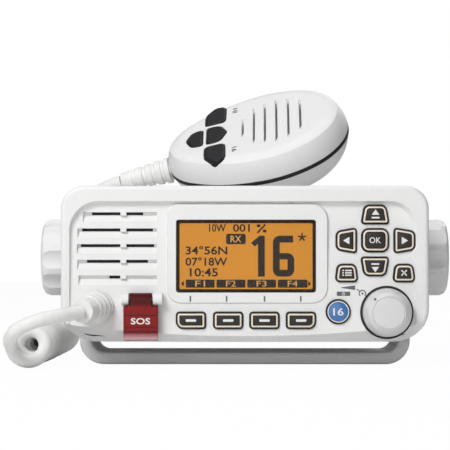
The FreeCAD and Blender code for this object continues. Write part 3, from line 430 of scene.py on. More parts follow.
def round_corners(shape, points, corners, steps):
    """Rounds the corner vertices of a flat outline, each to its own radius in millimetres."""
    places = [point.co.copy() for point in points]
    for i, (point, corner) in enumerate(zip(points, corners)):
        radius = corner[2] * MM
        if radius:
            back = places[i - 1] - places[i]
            half = back.angle(places[(i + 1) % len(places)] - places[i]) / 2
            bmesh.ops.bevel(shape, geom=[point], offset=radius / math.tan(half), offset_type="OFFSET",
                            segments=steps, profile=0.5, affect="VERTICES", material=-1)


FACING_FRONT = Matrix.Rotation(math.pi / 2, 4, "X")  # turns what is drawn flat towards the viewer


def panel_point(x, y, z):
    """A place on the panel, in metres."""
    return Vector((x * MM, y * MM, PANEL_Z + z * MM))


def quarter_turned(x, z, corners, turn):
    """Corners round a middle, turned counterclockwise by quarter turns."""
    c, s = round(math.cos(turn * math.pi / 2)), round(math.sin(turn * math.pi / 2))
    return [(x + a * c - b * s, z + a * s + b * c, radius) for a, b, radius in corners]


def to_mesh(shape, name):
    """Ends a bmesh and returns what it held as a new mesh."""
    mesh = bpy.data.meshes.new(name)
    shape.to_mesh(mesh)
    shape.free()
    return mesh


def extrude(shape, faces, y_change):
    """Extrudes faces along Y by millimetres and returns all that this made."""
    made = bmesh.ops.extrude_face_region(shape, geom=faces)["geom"]
    verts = [v for v in made if isinstance(v, bmesh.types.BMVert)]
    bmesh.ops.translate(shape, verts=verts, vec=(0.0, y_change * MM, 0.0))
    return made


def rectangle(left, right, low, high, radius=0.0):
    return [(left, low, radius), (right, low, radius), (right, high, radius), (left, high, radius)]


class Form:
    """A piece in the making, seen from the front. Places on the panel are x and height from its centre, and
    depths are Y; all are millimetres until done() makes the piece. A paint is the number of a finish in the
    list that done() gets."""

    def __init__(self):
        self.mesh = bmesh.new()

    def absorb(self, shape, paint=0):
        """Takes in a shape of its own, already in metres, with one of the piece's finishes on it."""
        for face in shape.faces:
            face.material_index += paint
        part = to_mesh(shape, "part")
        self.mesh.from_mesh(part)
        bpy.data.meshes.remove(part)

    def outline(self, shape, corners, y, steps=6):
        """Adds a flat face with rounded corners to a shape, and returns it."""
        known = set(shape.faces)
        points = [shape.verts.new(panel_point(x, y, z)) for x, z, _ in corners]
        shape.faces.new(points)
        round_corners(shape, points, corners, steps)
        return next(face for face in shape.faces if face not in known)

    def plate(self, corners, front, back, edge=0.0, steps=6):
        """A flat plate between two depths, with its front edge bevelled."""
        shape = bmesh.new()
        made = extrude(shape, [self.outline(shape, corners, back, steps)], front - back)
        if edge:
            top = next(part for part in made if isinstance(part, bmesh.types.BMFace))
            bmesh.ops.bevel(shape, geom=list(top.edges), offset=edge * MM, offset_type="OFFSET", segments=2,
                            profile=0.5, affect="EDGES", material=-1)
        bmesh.ops.recalc_face_normals(shape, faces=shape.faces)
        self.absorb(shape)
        return self

    def stack(self, levels, paints):
        """A form through outlines from back to front, with a paint for each band and for its front."""
        shape = bmesh.new()
        loops = []
        for corners, y in levels:
            face = self.outline(shape, corners, y)
            loops.append(list(face.edges))
            if 1 < len(loops) < len(levels):
                bmesh.ops.delete(shape, geom=[face], context="FACES_ONLY")
            else:
                face.material_index = paints[-1] if len(loops) > 1 else paints[0]
        for low, high, paint in zip(loops, loops[1:], paints):
            for face in bmesh.ops.bridge_loops(shape, edges=low + high)["faces"]:
                face.material_index = paint
        bmesh.ops.recalc_face_normals(shape, faces=shape.faces)
        self.absorb(shape)
        return self

    def ring(self, x, z, outer, inner, front, back, paint=0, steps=48):
        """A flat ring, or a disc where inner is 0."""
        shape = bmesh.new()
        centre = panel_point(x, back, z)
        bmesh.ops.create_circle(shape, cap_ends=True, segments=steps, radius=outer * MM,
                                matrix=Matrix.Translation(centre) @ FACING_FRONT)
        if inner:
            wall = (outer - inner) * MM
            bmesh.ops.inset_region(shape, faces=shape.faces[:], thickness=wall, use_boundary=True)
            middle = min(shape.faces, key=lambda f: (f.calc_center_median() - centre).length)
            bmesh.ops.delete(shape, geom=[middle], context="FACES")
        extrude(shape, shape.faces[:], front - back)
        bmesh.ops.recalc_face_normals(shape, faces=shape.faces)
        self.absorb(shape, paint)
        return self

    def words(self, text, x, z, height, front, back, width=None, weight=0.0):
        """Raised lettering, centred on a place and drawn to a height and, where it is given, a width."""
        line = bpy.data.curves.new("words", "FONT")
        line.body = text
        line.offset = weight
        line.extrude = 0.5
        line.resolution_u = 3
        holder = bpy.data.objects.new("words", line)
        flat = bpy.data.meshes.new_from_object(holder)
        xs, ys = [v.co.x for v in flat.vertices], [v.co.y for v in flat.vertices]
        up = height / (max(ys) - min(ys))
        across = width / (max(xs) - min(xs)) if width else up
        centre = Vector(((max(xs) + min(xs)) / 2, (max(ys) + min(ys)) / 2, 0.0))
        scale = Matrix.Diagonal((across * MM, up * MM, (back - front) * MM, 1.0))
        where = Matrix.Translation(panel_point(x, (front + back) / 2, z))
        flat.transform(where @ FACING_FRONT @ scale @ Matrix.Translation(-centre))
        shape = bmesh.new()
        shape.from_mesh(flat)
        bmesh.ops.remove_doubles(shape, verts=shape.verts, dist=0.0001 * MM)
        bpy.data.objects.remove(holder)
        self.absorb(shape)
        return self

    def arrow(self, x, z, across, along, turn, front, back):
        """A triangle that points up, turned counterclockwise by quarter turns."""
        radius = 0.12
        tip = [(-across / 2, -along / 2, radius), (across / 2, -along / 2, radius), (0.0, along / 2, radius)]
        return self.plate(quarter_turned(x, z, tip, turn), front, back, steps=2)

    def bar(self, start, end, width, front, back):
        """A straight stroke between two places."""
        a, b = Vector(start), Vector(end)
        side = (b - a).orthogonal().normalized() * width / 2
        corners = [(*(p + side * s), 0.0) for p, s in ((a, -1), (b, -1), (b, 1), (a, 1))]
        return self.plate(corners, front, back)

    def moved(self, matrix):
        bmesh.ops.transform(self.mesh, matrix=matrix, verts=self.mesh.verts)
        return self

    def done(self, name, paints, body, slot, sharp=35.0):
        """The finished piece: smooth but for its sharp edges, with its finishes, on its body."""
        for face in self.mesh.faces:
            face.smooth = True
        for line in self.mesh.edges:
            line.smooth = line.calc_face_angle(0.0) < math.radians(sharp)
        return finished_piece(name, to_mesh(self.mesh, name), paints, body)


# Places on the panel in millimetres, as x and height from its centre, and depths along Y.
KEY_PROUD = 1.5  # how far a key stands out of the sunk face
SUNK_TOP = (27.0, 2.6)  # height, and depth behind the rim, of the sunk face
SUNK_LOW = (-30.0, 0.7)
RIM_Y = -52.0
VOLUME_KNOB = (60.3, -20.6)
COVER_Y = -56.3
COVER_TOP = -17.7
COVER_LEAN = 0.026  # how far the cover's face comes forwards per millimetre downwards
SOFT_KEY_X = (-22.8, -7.0, 8.4, 23.9)
SOFT_KEY_Z = -24.0
CHANNEL_KEY = (39.7, -20.3)
DISPLAY_Y = -49.7
BEZEL_Y = -51.4


def sunk_y(z):
    """Depth of the panel's sunk face at a height."""
    share = (z - SUNK_LOW[0]) / (SUNK_TOP[0] - SUNK_LOW[0])
    return RIM_Y + SUNK_LOW[1] + share * (SUNK_TOP[1] - SUNK_LOW[1])


def cover_y(z):
    """Depth of the distress cover's face at a height: it leans forwards a little towards its lip."""
    return COVER_Y + COVER_LEAN * (z - COVER_TOP)


def tapered(x, z, width, height, narrow, turn, wide_radius, narrow_radius):
    """Corners of a key that narrows upwards, turned counterclockwise by quarter turns."""
    w, h = (width, height) if turn % 2 == 0 else (height, width)
    flat = [(-w / 2, -h / 2, wide_radius), (w / 2, -h / 2, wide_radius),
            (w / 2 - narrow, h / 2, narrow_radius), (narrow - w / 2, h / 2, narrow_radius)]
    return quarter_turned(x, z, flat, turn)


def key_outlines():
    """Corners of every key but the round one, each with its radius."""
    keys = {
        "key_up": tapered(55.5, 21.0, 12.0, 8.0, 1.4, 0, 1.2, 2.6),
        "key_down": tapered(55.3, -1.1, 12.0, 8.0, 1.4, 2, 1.2, 2.6),
        "key_left": tapered(43.2, 9.9, 8.7, 10.8, 1.5, 1, 1.2, 2.4),
        "key_right": tapered(67.9, 9.9, 8.9, 10.8, 1.5, 3, 1.2, 2.4),
        "key_enter": rectangle(49.7, 61.2, 5.1, 15.0, 3.0),
        "key_menu": tapered(43.3, -3.9, 9.8, 7.5, 1.0, 0, 1.8, 2.4),
        "key_clear": tapered(67.6, -3.9, 9.6, 7.5, 1.0, 0, 1.8, 2.4),
    }
    half_width, half_height, radius, outer_radius = 6.25, 3.5, 1.4, 3.0
    for number, x in enumerate(SOFT_KEY_X):
        corners = rectangle(x - half_width, x + half_width, SOFT_KEY_Z - half_height, SOFT_KEY_Z + half_height,
                            radius)
        if number == 0:
            corners[0] = (*corners[0][:2], outer_radius)
        if number == len(SOFT_KEY_X) - 1:
            corners[1] = (*corners[1][:2], outer_radius)
        keys["key_soft_" + str(number + 1)] = corners
    return keys


def key_middle(corners):
    return tuple((min(c[i] for c in corners) + max(c[i] for c in corners)) / 2 for i in (0, 1))


# The handset's middle on its face, and the directions along it and out of it.
HANDSET_CENTRE = Vector((4.24, 10.0, 106.26)) * MM
HANDSET_LONG = Vector((0.9639, -0.1463, 0.2224))
HANDSET_OUT = Vector((-0.2661, -0.5062, 0.8203))
CREASE = (35.9, 26.7, -0.42)  # half length, half width and height over the handset's face
CREASE_MIDDLE = (-1.0, 1.7)  # along and across the face
CREASE_FLARE = 0.16  # how much wider the crease is towards the head end
CREASE_POINTS = 32


def handset_place():
    """Carries what is drawn as on the panel onto the handset's face: x along it and height across it."""
    across = HANDSET_OUT.cross(HANDSET_LONG).normalized()
    out = HANDSET_OUT.normalized()
    turn = Matrix((across.cross(out), -out, across)).transposed().to_4x4()
    return Matrix.Translation(HANDSET_CENTRE) @ turn @ Matrix.Translation((0.0, 0.0, -PANEL_Z))


def worn_piece(node, name, slot, body, cell=0.0, rounds=0, proud=0.0):
    """Replaces a node by a copy with its edges and corners rounded, or standing proud all over, both in
    millimetres: cell is the fineness of the rounded copy, and rounds is how often it is smoothed."""
    shape = bmesh.new()
    shape.from_mesh(frame["nodes"][node].data)
    bmesh.ops.remove_doubles(shape, verts=shape.verts, dist=0.001 * MM)
    rough = bpy.data.objects.new(name, to_mesh(shape, name))
    bpy.context.scene.collection.objects.link(rough)
    if rounds:
        cells = rough.modifiers.new("cells", "REMESH")
        cells.voxel_size = cell * MM
        worn = rough.modifiers.new("worn", "SMOOTH")
        worn.iterations = rounds
    if proud:
        bead = rough.modifiers.new("bead", "DISPLACE")
        bead.mid_level = 0.0
        bead.strength = proud * MM
    finished = bpy.data.meshes.new_from_object(rough.evaluated_get(bpy.context.evaluated_depsgraph_get()))
    bpy.data.objects.remove(rough)
    finished.shade_smooth()
    finished.name = name
    finished.materials.clear()
    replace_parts(finished_piece(finished.name, finished, (slot,), body), node)


def nurbs(name, points, radius, sides=4, fine=4, closed=False):
    """A smooth curve with these points in metres as its control points, and its bevel's radius."""
    line = bpy.data.curves.new(name, "CURVE")
    line.dimensions = "3D"
    line.resolution_u = fine
    line.bevel_depth = radius
    line.bevel_resolution = sides
    line.use_fill_caps = True
    spline = line.splines.new("NURBS")
    spline.points.add(len(points) - 1)
    for point, place in zip(spline.points, points):
        point.co = (*place, 1.0)
    spline.order_u = 3
    spline.use_endpoint_u = not closed
    spline.use_cyclic_u = closed
    return bpy.data.objects.new(name, line)


def cord_points(turns):
    """Control points of the whole cord: the lead, the coil's turns and the tail, in metres."""
    points = [Vector(p) for p in LEAD]
    count = turns * POINTS_PER_TURN + POINTS_PER_TURN // 2
    for k in range(count + 1):
        share = k / count
        angle = math.pi + 2 * math.pi * k / POINTS_PER_TURN
        front = math.sin(math.pi * min(share / WAIST_SHARE, 1.0))
        drift = STRAY[0] * math.sin(STRAY[1] * share) + COIL_SWAY * front
        reach = (COIL_RADIUS - COIL_WAIST * front) / math.cos(math.pi / POINTS_PER_TURN)
        along = COIL_FRONT + share * (COIL_BACK - COIL_FRONT) + CROWDING[0] * math.sin(CROWDING[1] * share)
        points.append(Vector((COIL_CENTRE[0] + reach * math.cos(angle) + drift, along,
                              COIL_CENTRE[1] + reach * math.sin(angle) + WAIST_RISE * COIL_WAIST * front)))
    points += [Vector(p) for p in TAIL]
    return [p * MM for p in points]


def path_of(curve_object):
    """The points that a curve's own line follows, read from its mesh without a bevel."""
    curve_object.data.bevel_depth = 0.0
    mesh = bpy.data.meshes.new_from_object(curve_object)
    return [v.co.copy() for v in mesh.vertices]


class RADIO_OT_stage(bpy.types.Operator):
    """Floor, backdrop, lights and camera"""
    bl_idname = "radio.stage"
    bl_label = "Studio"

    lamps = {  # where each lamp stands and its size, in metres
        "key_light": ((-0.45, -0.8, 0.78), 0.45),
        "top_light": ((0.0, 0.1, 1.0), 0.7),
        "back_light": ((0.5, 1.2, 0.8), 0.9),
        "front_light": ((-0.2, -1.3, 0.2), 0.8),
    }
    lit_point = Vector((0.0, 0.0, 0.05))
    floor_drop = 0.2 * MM  # keeps the floor clear of the object's lowest faces
    floor_glow = 0.97  # share of the floor that the camera sees as plain white, without shadows

    def execute(self, context):
        studio = context.scene.radio_studio
        self.camera(context, studio)
        self.floor(context)
        self.world(context, studio)
        for name, (place, size) in self.lamps.items():
            self.lamp(context, name, Vector(place), size, getattr(studio, name))
        context.scene.view_settings.view_transform = "Standard"
        return {"FINISHED"}

    def camera(self, context, studio):
        data = bpy.data.cameras.new("camera")
        data.lens = studio.lens
        data.sensor_width = 36.0
        camera = bpy.data.objects.new("camera", data)
        camera.location = (0.0, -studio.camera_back, studio.camera_height)
        camera.rotation_euler = (math.pi / 2 + studio.lift, 0.0, studio.turn)
        context.scene.collection.objects.link(camera)
        context.scene.camera = camera

    def lamp(self, context, name, place, size, energy):
        data = bpy.data.lights.new(name, "AREA")
        data.size = size
        data.energy = energy
        lamp = bpy.data.objects.new(name, data)
        lamp.location = place
        lamp.rotation_euler = (self.lit_point - place).to_track_quat("-Z", "Y").to_euler()
        context.scene.collection.objects.link(lamp)

    def floor(self, context):
        """One flat sheet, nearly white to the camera but for soft shadows."""
        shape = bmesh.new()
        bmesh.ops.create_grid(shape, x_segments=1, y_segments=1, size=4.0)
        mesh = to_mesh(shape, "floor")
        sheet = bpy.data.objects.new("floor", mesh)
        sheet.location = (0.0, 0.0, -self.floor_drop)
        context.scene.collection.objects.link(sheet)
        paint = Paint("floor_white")
        grain = paint.noise(40.0, 2.0)
        paint.set(base_color=paint.blend((0.86, 0.86, 0.86), (0.88, 0.88, 0.88), grain), roughness=0.9)
        seen = paint.node("ShaderNodeLightPath", {}, {}, "Is Camera Ray")
        glow = paint.node("ShaderNodeEmission", {}, {"Color": (1.0, 1.0, 1.0, 1.0), "Strength": 1.0})
        painted = Value(paint, paint.surface.outputs[0])
        mixed = paint.node("ShaderNodeMixShader", {}, {0: seen * self.floor_glow, 1: painted, 2: glow})
        paint.feed(paint.tree.nodes["Material Output"].inputs["Surface"], mixed)
        mesh.materials.append(paint.material)

    def world(self, context, studio):
        """White to the camera, and an even light of the room's strength on everything else."""
        context.scene.world = bpy.data.worlds.new("room")
        room = Paint("room", context.scene.world)
        seen = room.node("ShaderNodeLightPath", {}, {}, "Is Camera Ray")
        strength = room.node("ShaderNodeMapRange", {}, {"Value": seen, "To Min": studio.room, "To Max": 1.0})
        room.set(color=(1.0, 1.0, 1.0), strength=strength)


class RADIO_OT_finishes(bpy.types.Operator):
    """Gives every part of the radio the finish of its material slot"""
    bl_idname = "radio.finishes"
    bl_label = "Finishes"

    def execute(self, context):
        made = finishes(context)
        slots = {part["node"]: part["material_slot"] for part in frame["record"]["subparts"]}
        for name, part in frame["nodes"].items():
            part.data.materials.clear()
            part.data.materials.append(made["knob_satin" if name == "volume_knob" else slots[name]])
        return {"FINISHED"}


class RADIO_OT_cord(bpy.types.Operator):
    """The curly cord, from its gland to the handset"""
    bl_idname = "radio.cord"
    bl_label = "Curly cord"

    def execute(self, context):
        sizes = context.scene.radio_sizes
        line = nurbs("cord_line", cord_points(sizes.turns), sizes.cord / 2)
        mesh = bpy.data.meshes.new_from_object(line)
        path = path_of(line)
        mesh.shade_smooth()
        mesh.name = "curly_cord"
        cord = finished_piece("curly_cord", mesh, ("cord_white",), None)
        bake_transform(cord)
        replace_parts(cord, "cord_lead", "cord_coil", "cord_tail")
        return {"FINISHED"}


class RADIO_OT_keys(bpy.types.Operator):
    """Silicone keys: charcoal paint with a clear border left round the middle of each cap"""
    bl_idname = "radio.keys"
    bl_label = "Keys"

    back_y = -46.9
    bands = (  # how far in and how high over the key's nominal face each line of the cap runs
        (0.0, -0.75), (0.22, -0.32), (0.5, -0.12), (0.62, 0.02), (1.32, 0.06), (1.5, -0.16), (1.62, -0.12),
        (2.0, 0.1))
    # The flank and the groove are the keys' dark side, painted black beyond the charcoal as painted shade in
    # the gap round each key and in its groove.
    band_paints = (1, 1, 1, 1, 2, 1, 1, 0, 0)  # of cap_paints: dark flank, clear rim, dark groove, cap
    cap_paints = ("key_charcoal", "black_plastic", "key_rim")
    # the round key's collar is black as painted shade in the gap round the key
    round_paints = ("black_plastic", "print_white", "key_blue")
    collar_radius, rim_radii, dome_radius, dome_rise = 5.1, (4.6, 4.2), 4.2, 0.55

    def execute(self, context):
        for node, corners in key_outlines().items():
            self.cap(node, corners)
        self.channel()
        return {"FINISHED"}

    def cap(self, node, corners):
        top_y = sunk_y(key_middle(corners)[1]) - KEY_PROUD
        levels = [(corners, self.back_y)]
        levels += [(shrunk(corners, inset), top_y - rise) for inset, rise in self.bands]
        piece = Form().stack(levels, self.band_paints).done(
            node + "_cap", self.cap_paints, node + "_body", "key_charcoal", 50.0)
        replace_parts(piece, node)

    def channel(self):
        """The round key: a collar, black as painted shade in the gap round it, a pale ring and a blue dome."""
        x, z = CHANNEL_KEY
        top_y = sunk_y(z) - KEY_PROUD
        foot_y = top_y + 0.45
        form = Form()
        form.ring(x, z, self.collar_radius, 0.0, top_y + 0.4, self.back_y)
        form.ring(x, z, *self.rim_radii, top_y + 0.1, foot_y, 1)
        dome = bmesh.new()
        flat = Matrix.Diagonal((self.dome_radius * MM, self.dome_rise * MM, self.dome_radius * MM, 1.0))
        where = Matrix.Translation(panel_point(x, foot_y, z))
        bmesh.ops.create_uvsphere(dome, u_segments=48, v_segments=24, radius=1.0,
                                  matrix=where @ flat @ FACING_FRONT)
        form.absorb(dome, 2)
        piece = form.done("key_channel_cap", self.round_paints, "key_channel_body", "key_blue")
        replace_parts(piece, "key_channel")


class RADIO_OT_legends(bpy.types.Operator):
    """Symbols and numbers on the keys"""
    bl_idname = "radio.legends"
    bl_label = "Key legends"

    depth = 0.06
    root = 0.05  # how deep a legend reaches into its cap
    cap_rise = 0.1  # height of a cap's painted middle over the key's nominal face
    arrows = {  # how far the arrow lies from the key's middle, its width and length, and its quarter turns
        "key_up": ((0.1, 1.0), (3.3, 2.3), 0),
        "key_down": ((0.1, -1.3), (3.3, 2.3), 2),
        "key_left": ((-0.1, 0.0), (3.2, 2.7), 1),
        "key_right": ((0.1, 0.0), (3.2, 2.7), 3),
    }
    feet = {"key_up": -1.7, "key_down": 0.7}  # lower edge of the bar at an arrow's foot
    dash = (2.2, 0.55)  # half length and half height of a soft key's dash

    def execute(self, context):
        for node, corners in key_outlines().items():
            x, z = key_middle(corners)
            face = sunk_y(z) - KEY_PROUD - self.cap_rise
            form = self.legend(node, x, z, face - self.depth, face + self.root)
            form.done(node + "_legend", ("print_white",), node + "_body", "key_charcoal")
        x, z = CHANNEL_KEY
        face = sunk_y(z) - KEY_PROUD - 0.12
        form = Form().words("16", x, z, 3.2, face - 0.05, face + 0.2, 4.4, weight=0.015)
        form.done("key_channel_legend", ("print_white",), "key_channel_body", "key_blue")
        return {"FINISHED"}

    def legend(self, node, x, z, front, back):
        form = Form()
        if node in self.arrows:
            (right, up), (across, along), turn = self.arrows[node]
            form.arrow(x + right, z + up, across, along, turn, front, back)
        if node in self.feet:
            low = z + self.feet[node]
            form.plate(rectangle(x - 1.6, x + 1.8, low, low + 0.7, 0.2), front, back)
        if node == "key_enter":
            form.words("OK", x - 0.05, z, 2.5, front, back, 4.9, weight=0.01)
        if node == "key_menu":
            self.list_symbol(form, x, z, front, back)
        if node == "key_clear":
            self.cross(form, x, z, front, back)
        if node.startswith("key_soft"):
            long, high = self.dash
            form.plate(rectangle(x - long, x + long, z - high, z + high, 0.3), front, back)
        return form

    def list_symbol(self, form, x, z, front, back):
        """Three rows, each a dot and a line."""
        for row in (-0.9, 0.1, 1.1):
            low, high = z + row - 0.28, z + row + 0.28
            form.plate(rectangle(x - 1.9, x - 1.2, low, high, 0.1), front, back)
            form.plate(rectangle(x - 0.7, x + 2.1, low, high, 0.1), front, back)

    def cross(self, form, x, z, front, back):
        reach, stroke = 1.15, 0.55
        middle = z + 0.1
        for slope in (-1, 1):
            start, end = (x - reach, middle - slope * reach), (x + reach, middle + slope * reach)
            form.bar(start, end, stroke, front, back)


class RADIO_OT_display(bpy.types.Operator):
    """What the display shows: a channel number, plain readings and four soft-key labels"""
    bl_idname = "radio.display"
    bl_label = "Display"

    labels = ((-25.1, -12.8), (-12.0, 0.3), (1.1, 13.3), (14.1, 26.7))
    label_low, label_high = -10.1, -6.7
    readings = (  # text, the x and height of its middle, and its height and width
        ("10W", -11.6, 15.3, 3.3, 7.2), ("001", -1.4, 15.3, 3.3, 7.2), ("34°56N", -16.3, 5.8, 3.7, 17.8),
        ("07°18W", -16.3, 1.0, 3.7, 17.8), ("10:45", -17.4, -3.6, 3.6, 12.0))
    status_box = rectangle(-7.9, 0.4, 8.4, 12.8, 0.8)

    def execute(self, context):
        front, back = DISPLAY_Y - 0.05, DISPLAY_Y + 0.02
        dark = Form()
        for text, x, z, height, width in self.readings:
            dark.words(text, x, z, height, front, back, width, weight=0.02)
        dark.plate(self.status_box, front, back)
        self.channel_number(dark, front, back)
        self.signal(dark, front, back)
        self.star(dark, 24.4, 11.3, front, back)
        for left, right in self.labels:
            dark.plate(rectangle(left, right, self.label_low, self.label_high, 0.5), front, back)
        middle = (self.label_low + self.label_high) / 2
        dark.arrow(-26.5, middle, 2.6, 1.2, 1, front, back)
        dark.arrow(27.6, middle, 2.6, 1.2, 3, front, back)
        dark.done("display_segments", ("lcd_ink",), HEAD, "lcd_amber")
        lit = Form()
        lit_front, lit_back = front - 0.03, front + 0.01
        lit.words("RX", -3.75, 10.6, 2.8, lit_front, lit_back, 4.6, weight=0.01)
        for number, (left, right) in enumerate(self.labels):
            lit.words("F" + str(number + 1), (left + right) / 2, middle, 2.5, lit_front, lit_back, 4.2)
        lit.done("display_reversed", ("lcd_lit",), HEAD, "lcd_amber")
        return {"FINISHED"}

    def channel_number(self, form, front, back):
        """The large 16 in heavy strokes with cut corners."""
        low, high, stroke, cut = -5.4, 12.0, 2.9, 3.0
        one = [(5.65, low, 0), (8.55, low, 0), (8.55, high, 0.3), (6.4, high, 0.3), (2.7, 9.0, 0),
               (4.2, 7.4, 0), (5.65, 8.6, 0)]
        form.plate(one, front, back)
        left, right, waist = 12.0, 21.1, 4.6
        inner_left, inner_right = left + stroke, right - stroke
        spine = [(left, low, cut), (inner_left, low, 0), (inner_left, high, 0), (left, high, cut)]
        form.plate(spine, front, back)
        form.plate(rectangle(inner_left, right - 0.5, high - stroke, high), front, back)
        form.plate(rectangle(inner_left, inner_right, waist - stroke + 0.2, waist), front, back)
        form.plate(rectangle(inner_left, inner_right, low, low + stroke), front, back)
        flank = [(inner_right, low, 0), (right, low, cut), (right, waist, cut), (inner_right, waist, 0)]
        form.plate(flank, front, back)

    def signal(self, form, front, back):
        """A slanted stroke between two dots: a fix from the satellites."""
        half_width, half_height = 0.75, 0.6
        form.bar((5.4, 13.2), (8.8, 16.8), 0.75, front, back)
        for x, z in ((5.9, 16.2), (8.5, 14.0)):
            dot = rectangle(x - half_width, x + half_width, z - half_height, z + half_height, 0.2)
            form.plate(dot, front, back)

    def star(self, form, x, z, front, back):
        rays, reach, stroke = 5, 1.8, 0.62
        for k in range(rays):
            angle = math.pi / 2 + 2 * math.pi * k / rays
            form.bar((x, z), (x + reach * math.cos(angle), z + reach * math.sin(angle)), stroke, front, back)


class RADIO_OT_print(bpy.types.Operator):
    """Marks printed on the panel: a tick over each soft key, and the knob's symbols"""
    bl_idname = "radio.print"
    bl_label = "Panel print"

    ticks_x = (-23.1, -7.7, 8.4, 23.8)
    dial = (50.0, -12.6)
    power_mark = (41.95, -12.7)

    def execute(self, context):
        form = Form()
        for x in self.ticks_x:
            form.plate(rectangle(x - 0.33, x + 0.33, -16.0, -13.6, 0.1), BEZEL_Y - 0.05, BEZEL_Y + 0.05)
        face = sunk_y(-11.5)
        front, back = face - 0.07, face + 0.1
        form.arrow(43.6, -10.1, 1.9, 6.6, 1, front, back)
        form.plate(rectangle(39.1, 44.8, -13.6, -11.8, 0.3), front, back)
        form.ring(*self.dial, 1.6, 1.15, front, back)
        form.ring(*self.dial, 0.45, 0.0, front, back, steps=16)
        form.bar((47.5, -10.7), (49.0, -11.7), 0.4, front, back)
        form.done("panel_print", ("print_grey",), HEAD, "panel_white")
        lit = Form()
        lit_front, lit_back = front - 0.03, front + 0.01
        x, z = self.power_mark
        lit.ring(x, z, 0.66, 0.42, lit_front, lit_back, steps=20)
        lit.bar((x, z), (x, z + 0.75), 0.24, lit_front, lit_back)
        lit.done("power_symbol", ("print_white",), HEAD, "panel_white")
        return {"FINISHED"}


class RADIO_OT_trim(bpy.types.Operator):
    """The volume knob's mark and the painted shadow of the gap round it, and the distress cover's ledges, dark
    with painted shade, and its letters
    """
    bl_idname = "radio.trim"
    bl_label = "Knob and cover trim"

    # A black ring on the panel round the volume knob: the painted shadow of the gap between them.
    gap_shadow_radii = (11.3, 10.42)
    gap_shadow_slope = 0.06  # how far the panel's face goes back per millimetre upwards
    gap_shadow_y = -51.46
    mark_offset, mark_radius = 5.8, 0.5
    mark_y = (-64.9, -63.0)
    # Raised strips on the distress cover, dark red as painted shade along its fold and its lower edges.
    ledges = ((-21.85, -21.45, 0.2), (-26.9, -26.5, 0.15), (-28.9, -28.3, 0.25))  # low, high and how proud
    ledge_x = (-50.6, -37.4)
    letters_place = (-44.0, -24.2)

    def execute(self, context):
        self.knob_trim()
        worn_piece("distress_cover", "distress_cover_clear", "distress_red", "cover", 0.22, 5)
        self.cover_trim()
        return {"FINISHED"}

    def knob_trim(self):
        # A black ring as painted shadow of the gap round the knob, and the knob's printed mark.
        x, z = VOLUME_KNOB
        slope = Matrix.Identity(4)
        slope[1][2] = self.gap_shadow_slope
        slope[1][3] = self.gap_shadow_y * MM - self.gap_shadow_slope * (PANEL_Z + z * MM)
        gap_shadow = Form().ring(x, z, *self.gap_shadow_radii, 0.0, 2.0, steps=72).moved(slope)
        gap_shadow.done("volume_gasket", ("black_plastic",), HEAD, "black_plastic")
        mark = Form().ring(x - self.mark_offset, z + self.mark_offset, self.mark_radius, 0.0, *self.mark_y,
                           steps=20)
        mark.done("volume_mark", ("print_grey",), "volume", "panel_white")

    def cover_trim(self):
        ledges = Form()
        for low, high, proud in self.ledges:
            face = cover_y(low)
            ledges.plate(rectangle(*self.ledge_x, low, high, 0.15), face - proud, face + 0.3, edge=0.06)
        ledges.done("distress_cover_ledges", ("distress_shade",), "cover", "distress_red")
        x, z = self.letters_place
        face = cover_y(z)
        letters = Form().words("SOS", x, z, 2.7, face - 0.12, face + 0.1, 8.2, weight=0.02)
        letters.done("distress_cover_letters", ("print_white",), "cover", "distress_red")


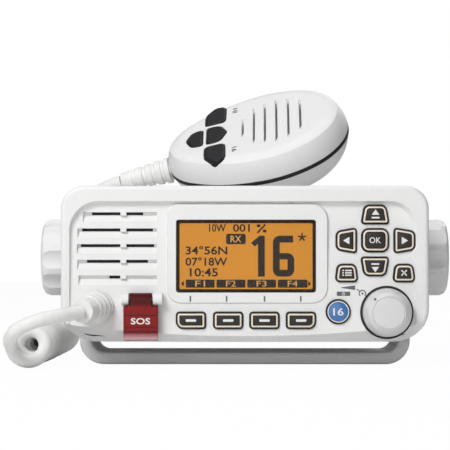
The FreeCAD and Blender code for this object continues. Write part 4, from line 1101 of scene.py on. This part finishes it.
class RADIO_OT_handset(bpy.types.Operator):
    """The handset's rubber keys, its seal, the crease round its face and the marks beside its keys"""
    bl_idname = "radio.handset"
    bl_label = "Handset"

    marks_text = (("HI", -21.0), ("16", 16.5))
    marks_along = -9.2

    def execute(self, context):
        for key in ("high", "low", "rear", "fore"):
            node = "mic_key_" + key
            worn_piece(node, node + "_cap", "mic_black", node + "_body", cell=0.3, rounds=18)
        worn_piece("mic_seal", "mic_seal_bead", "mic_black", "handset", proud=0.5)
        worn_piece("talk_key", "talk_key_cap", "mic_white", "talk", cell=0.4, rounds=10)
        self.crease()
        self.marks()
        return {"FINISHED"}

    def crease(self):
        """A fine ridge round the face, wider towards the head end as the handset is."""
        half_long, half_wide, out = CREASE
        middle_long, middle_across = CREASE_MIDDLE
        points = []
        for k in range(CREASE_POINTS):
            t = 2 * math.pi * k / CREASE_POINTS
            flare = 1 + CREASE_FLARE * math.cos(t)
            along = middle_long + half_long * math.cos(t)
            across = middle_across + half_wide * math.sin(t) * flare
            points.append(handset_place() @ panel_point(along, -out, across))
        line = nurbs("crease_line", points, 0.32 * MM, sides=2, fine=3, closed=True)
        mesh = bpy.data.meshes.new_from_object(line)
        mesh.shade_smooth()
        finished_piece("mic_crease", mesh, ("mic_white",), "handset")

    def marks(self):
        """Short marks beside two of the keys, turned to be read along the handset."""
        form = Form()
        for text, across in self.marks_text:
            form.words(text, across, self.marks_along, 2.3, -0.06, 0.12, 4.4, weight=0.02)
        upright = Matrix.Translation((0.0, 0.0, PANEL_Z)) @ Matrix.Rotation(math.pi / 2, 4, "Y")
        form.moved(handset_place() @ upright @ Matrix.Translation((0.0, 0.0, -PANEL_Z)))
        form.done("mic_marks", ("print_grey",), "handset", "mic_white")


class RADIO_PT_sidebar(bpy.types.Panel):
    """Lists the steps that dress the radio"""
    bl_idname = "RADIO_PT_sidebar"
    bl_label = "Marine Radio"
    bl_space_type = "VIEW_3D"
    bl_region_type = "UI"
    bl_category = "Marine Radio"

    def draw(self, context):
        for step in STEPS:
            self.layout.operator(step.bl_idname)


STEPS = (RADIO_OT_stage, RADIO_OT_finishes, RADIO_OT_cord, RADIO_OT_keys, RADIO_OT_legends, RADIO_OT_display,
         RADIO_OT_print, RADIO_OT_trim, RADIO_OT_handset)
GROUPS = {"radio_colours": RadioColours, "radio_sizes": RadioSizes, "radio_studio": RadioStudio}


def register():
    for group in GROUPS.values():
        bpy.utils.register_class(group)
    for step in STEPS + (RADIO_PT_sidebar,):
        bpy.utils.register_class(step)
    for name, group in GROUPS.items():
        setattr(bpy.types.Scene, name, bpy.props.PointerProperty(type=group))


def unregister():
    for name in GROUPS:
        delattr(bpy.types.Scene, name)
    for kept in (RADIO_PT_sidebar,) + STEPS[::-1] + tuple(GROUPS.values())[::-1]:
        bpy.utils.unregister_class(kept)


def main():
    register()
    for step in STEPS:
        section, name = step.bl_idname.split(".")
        getattr(getattr(bpy.ops, section), name)()


if __name__ == "__main__":
    main()
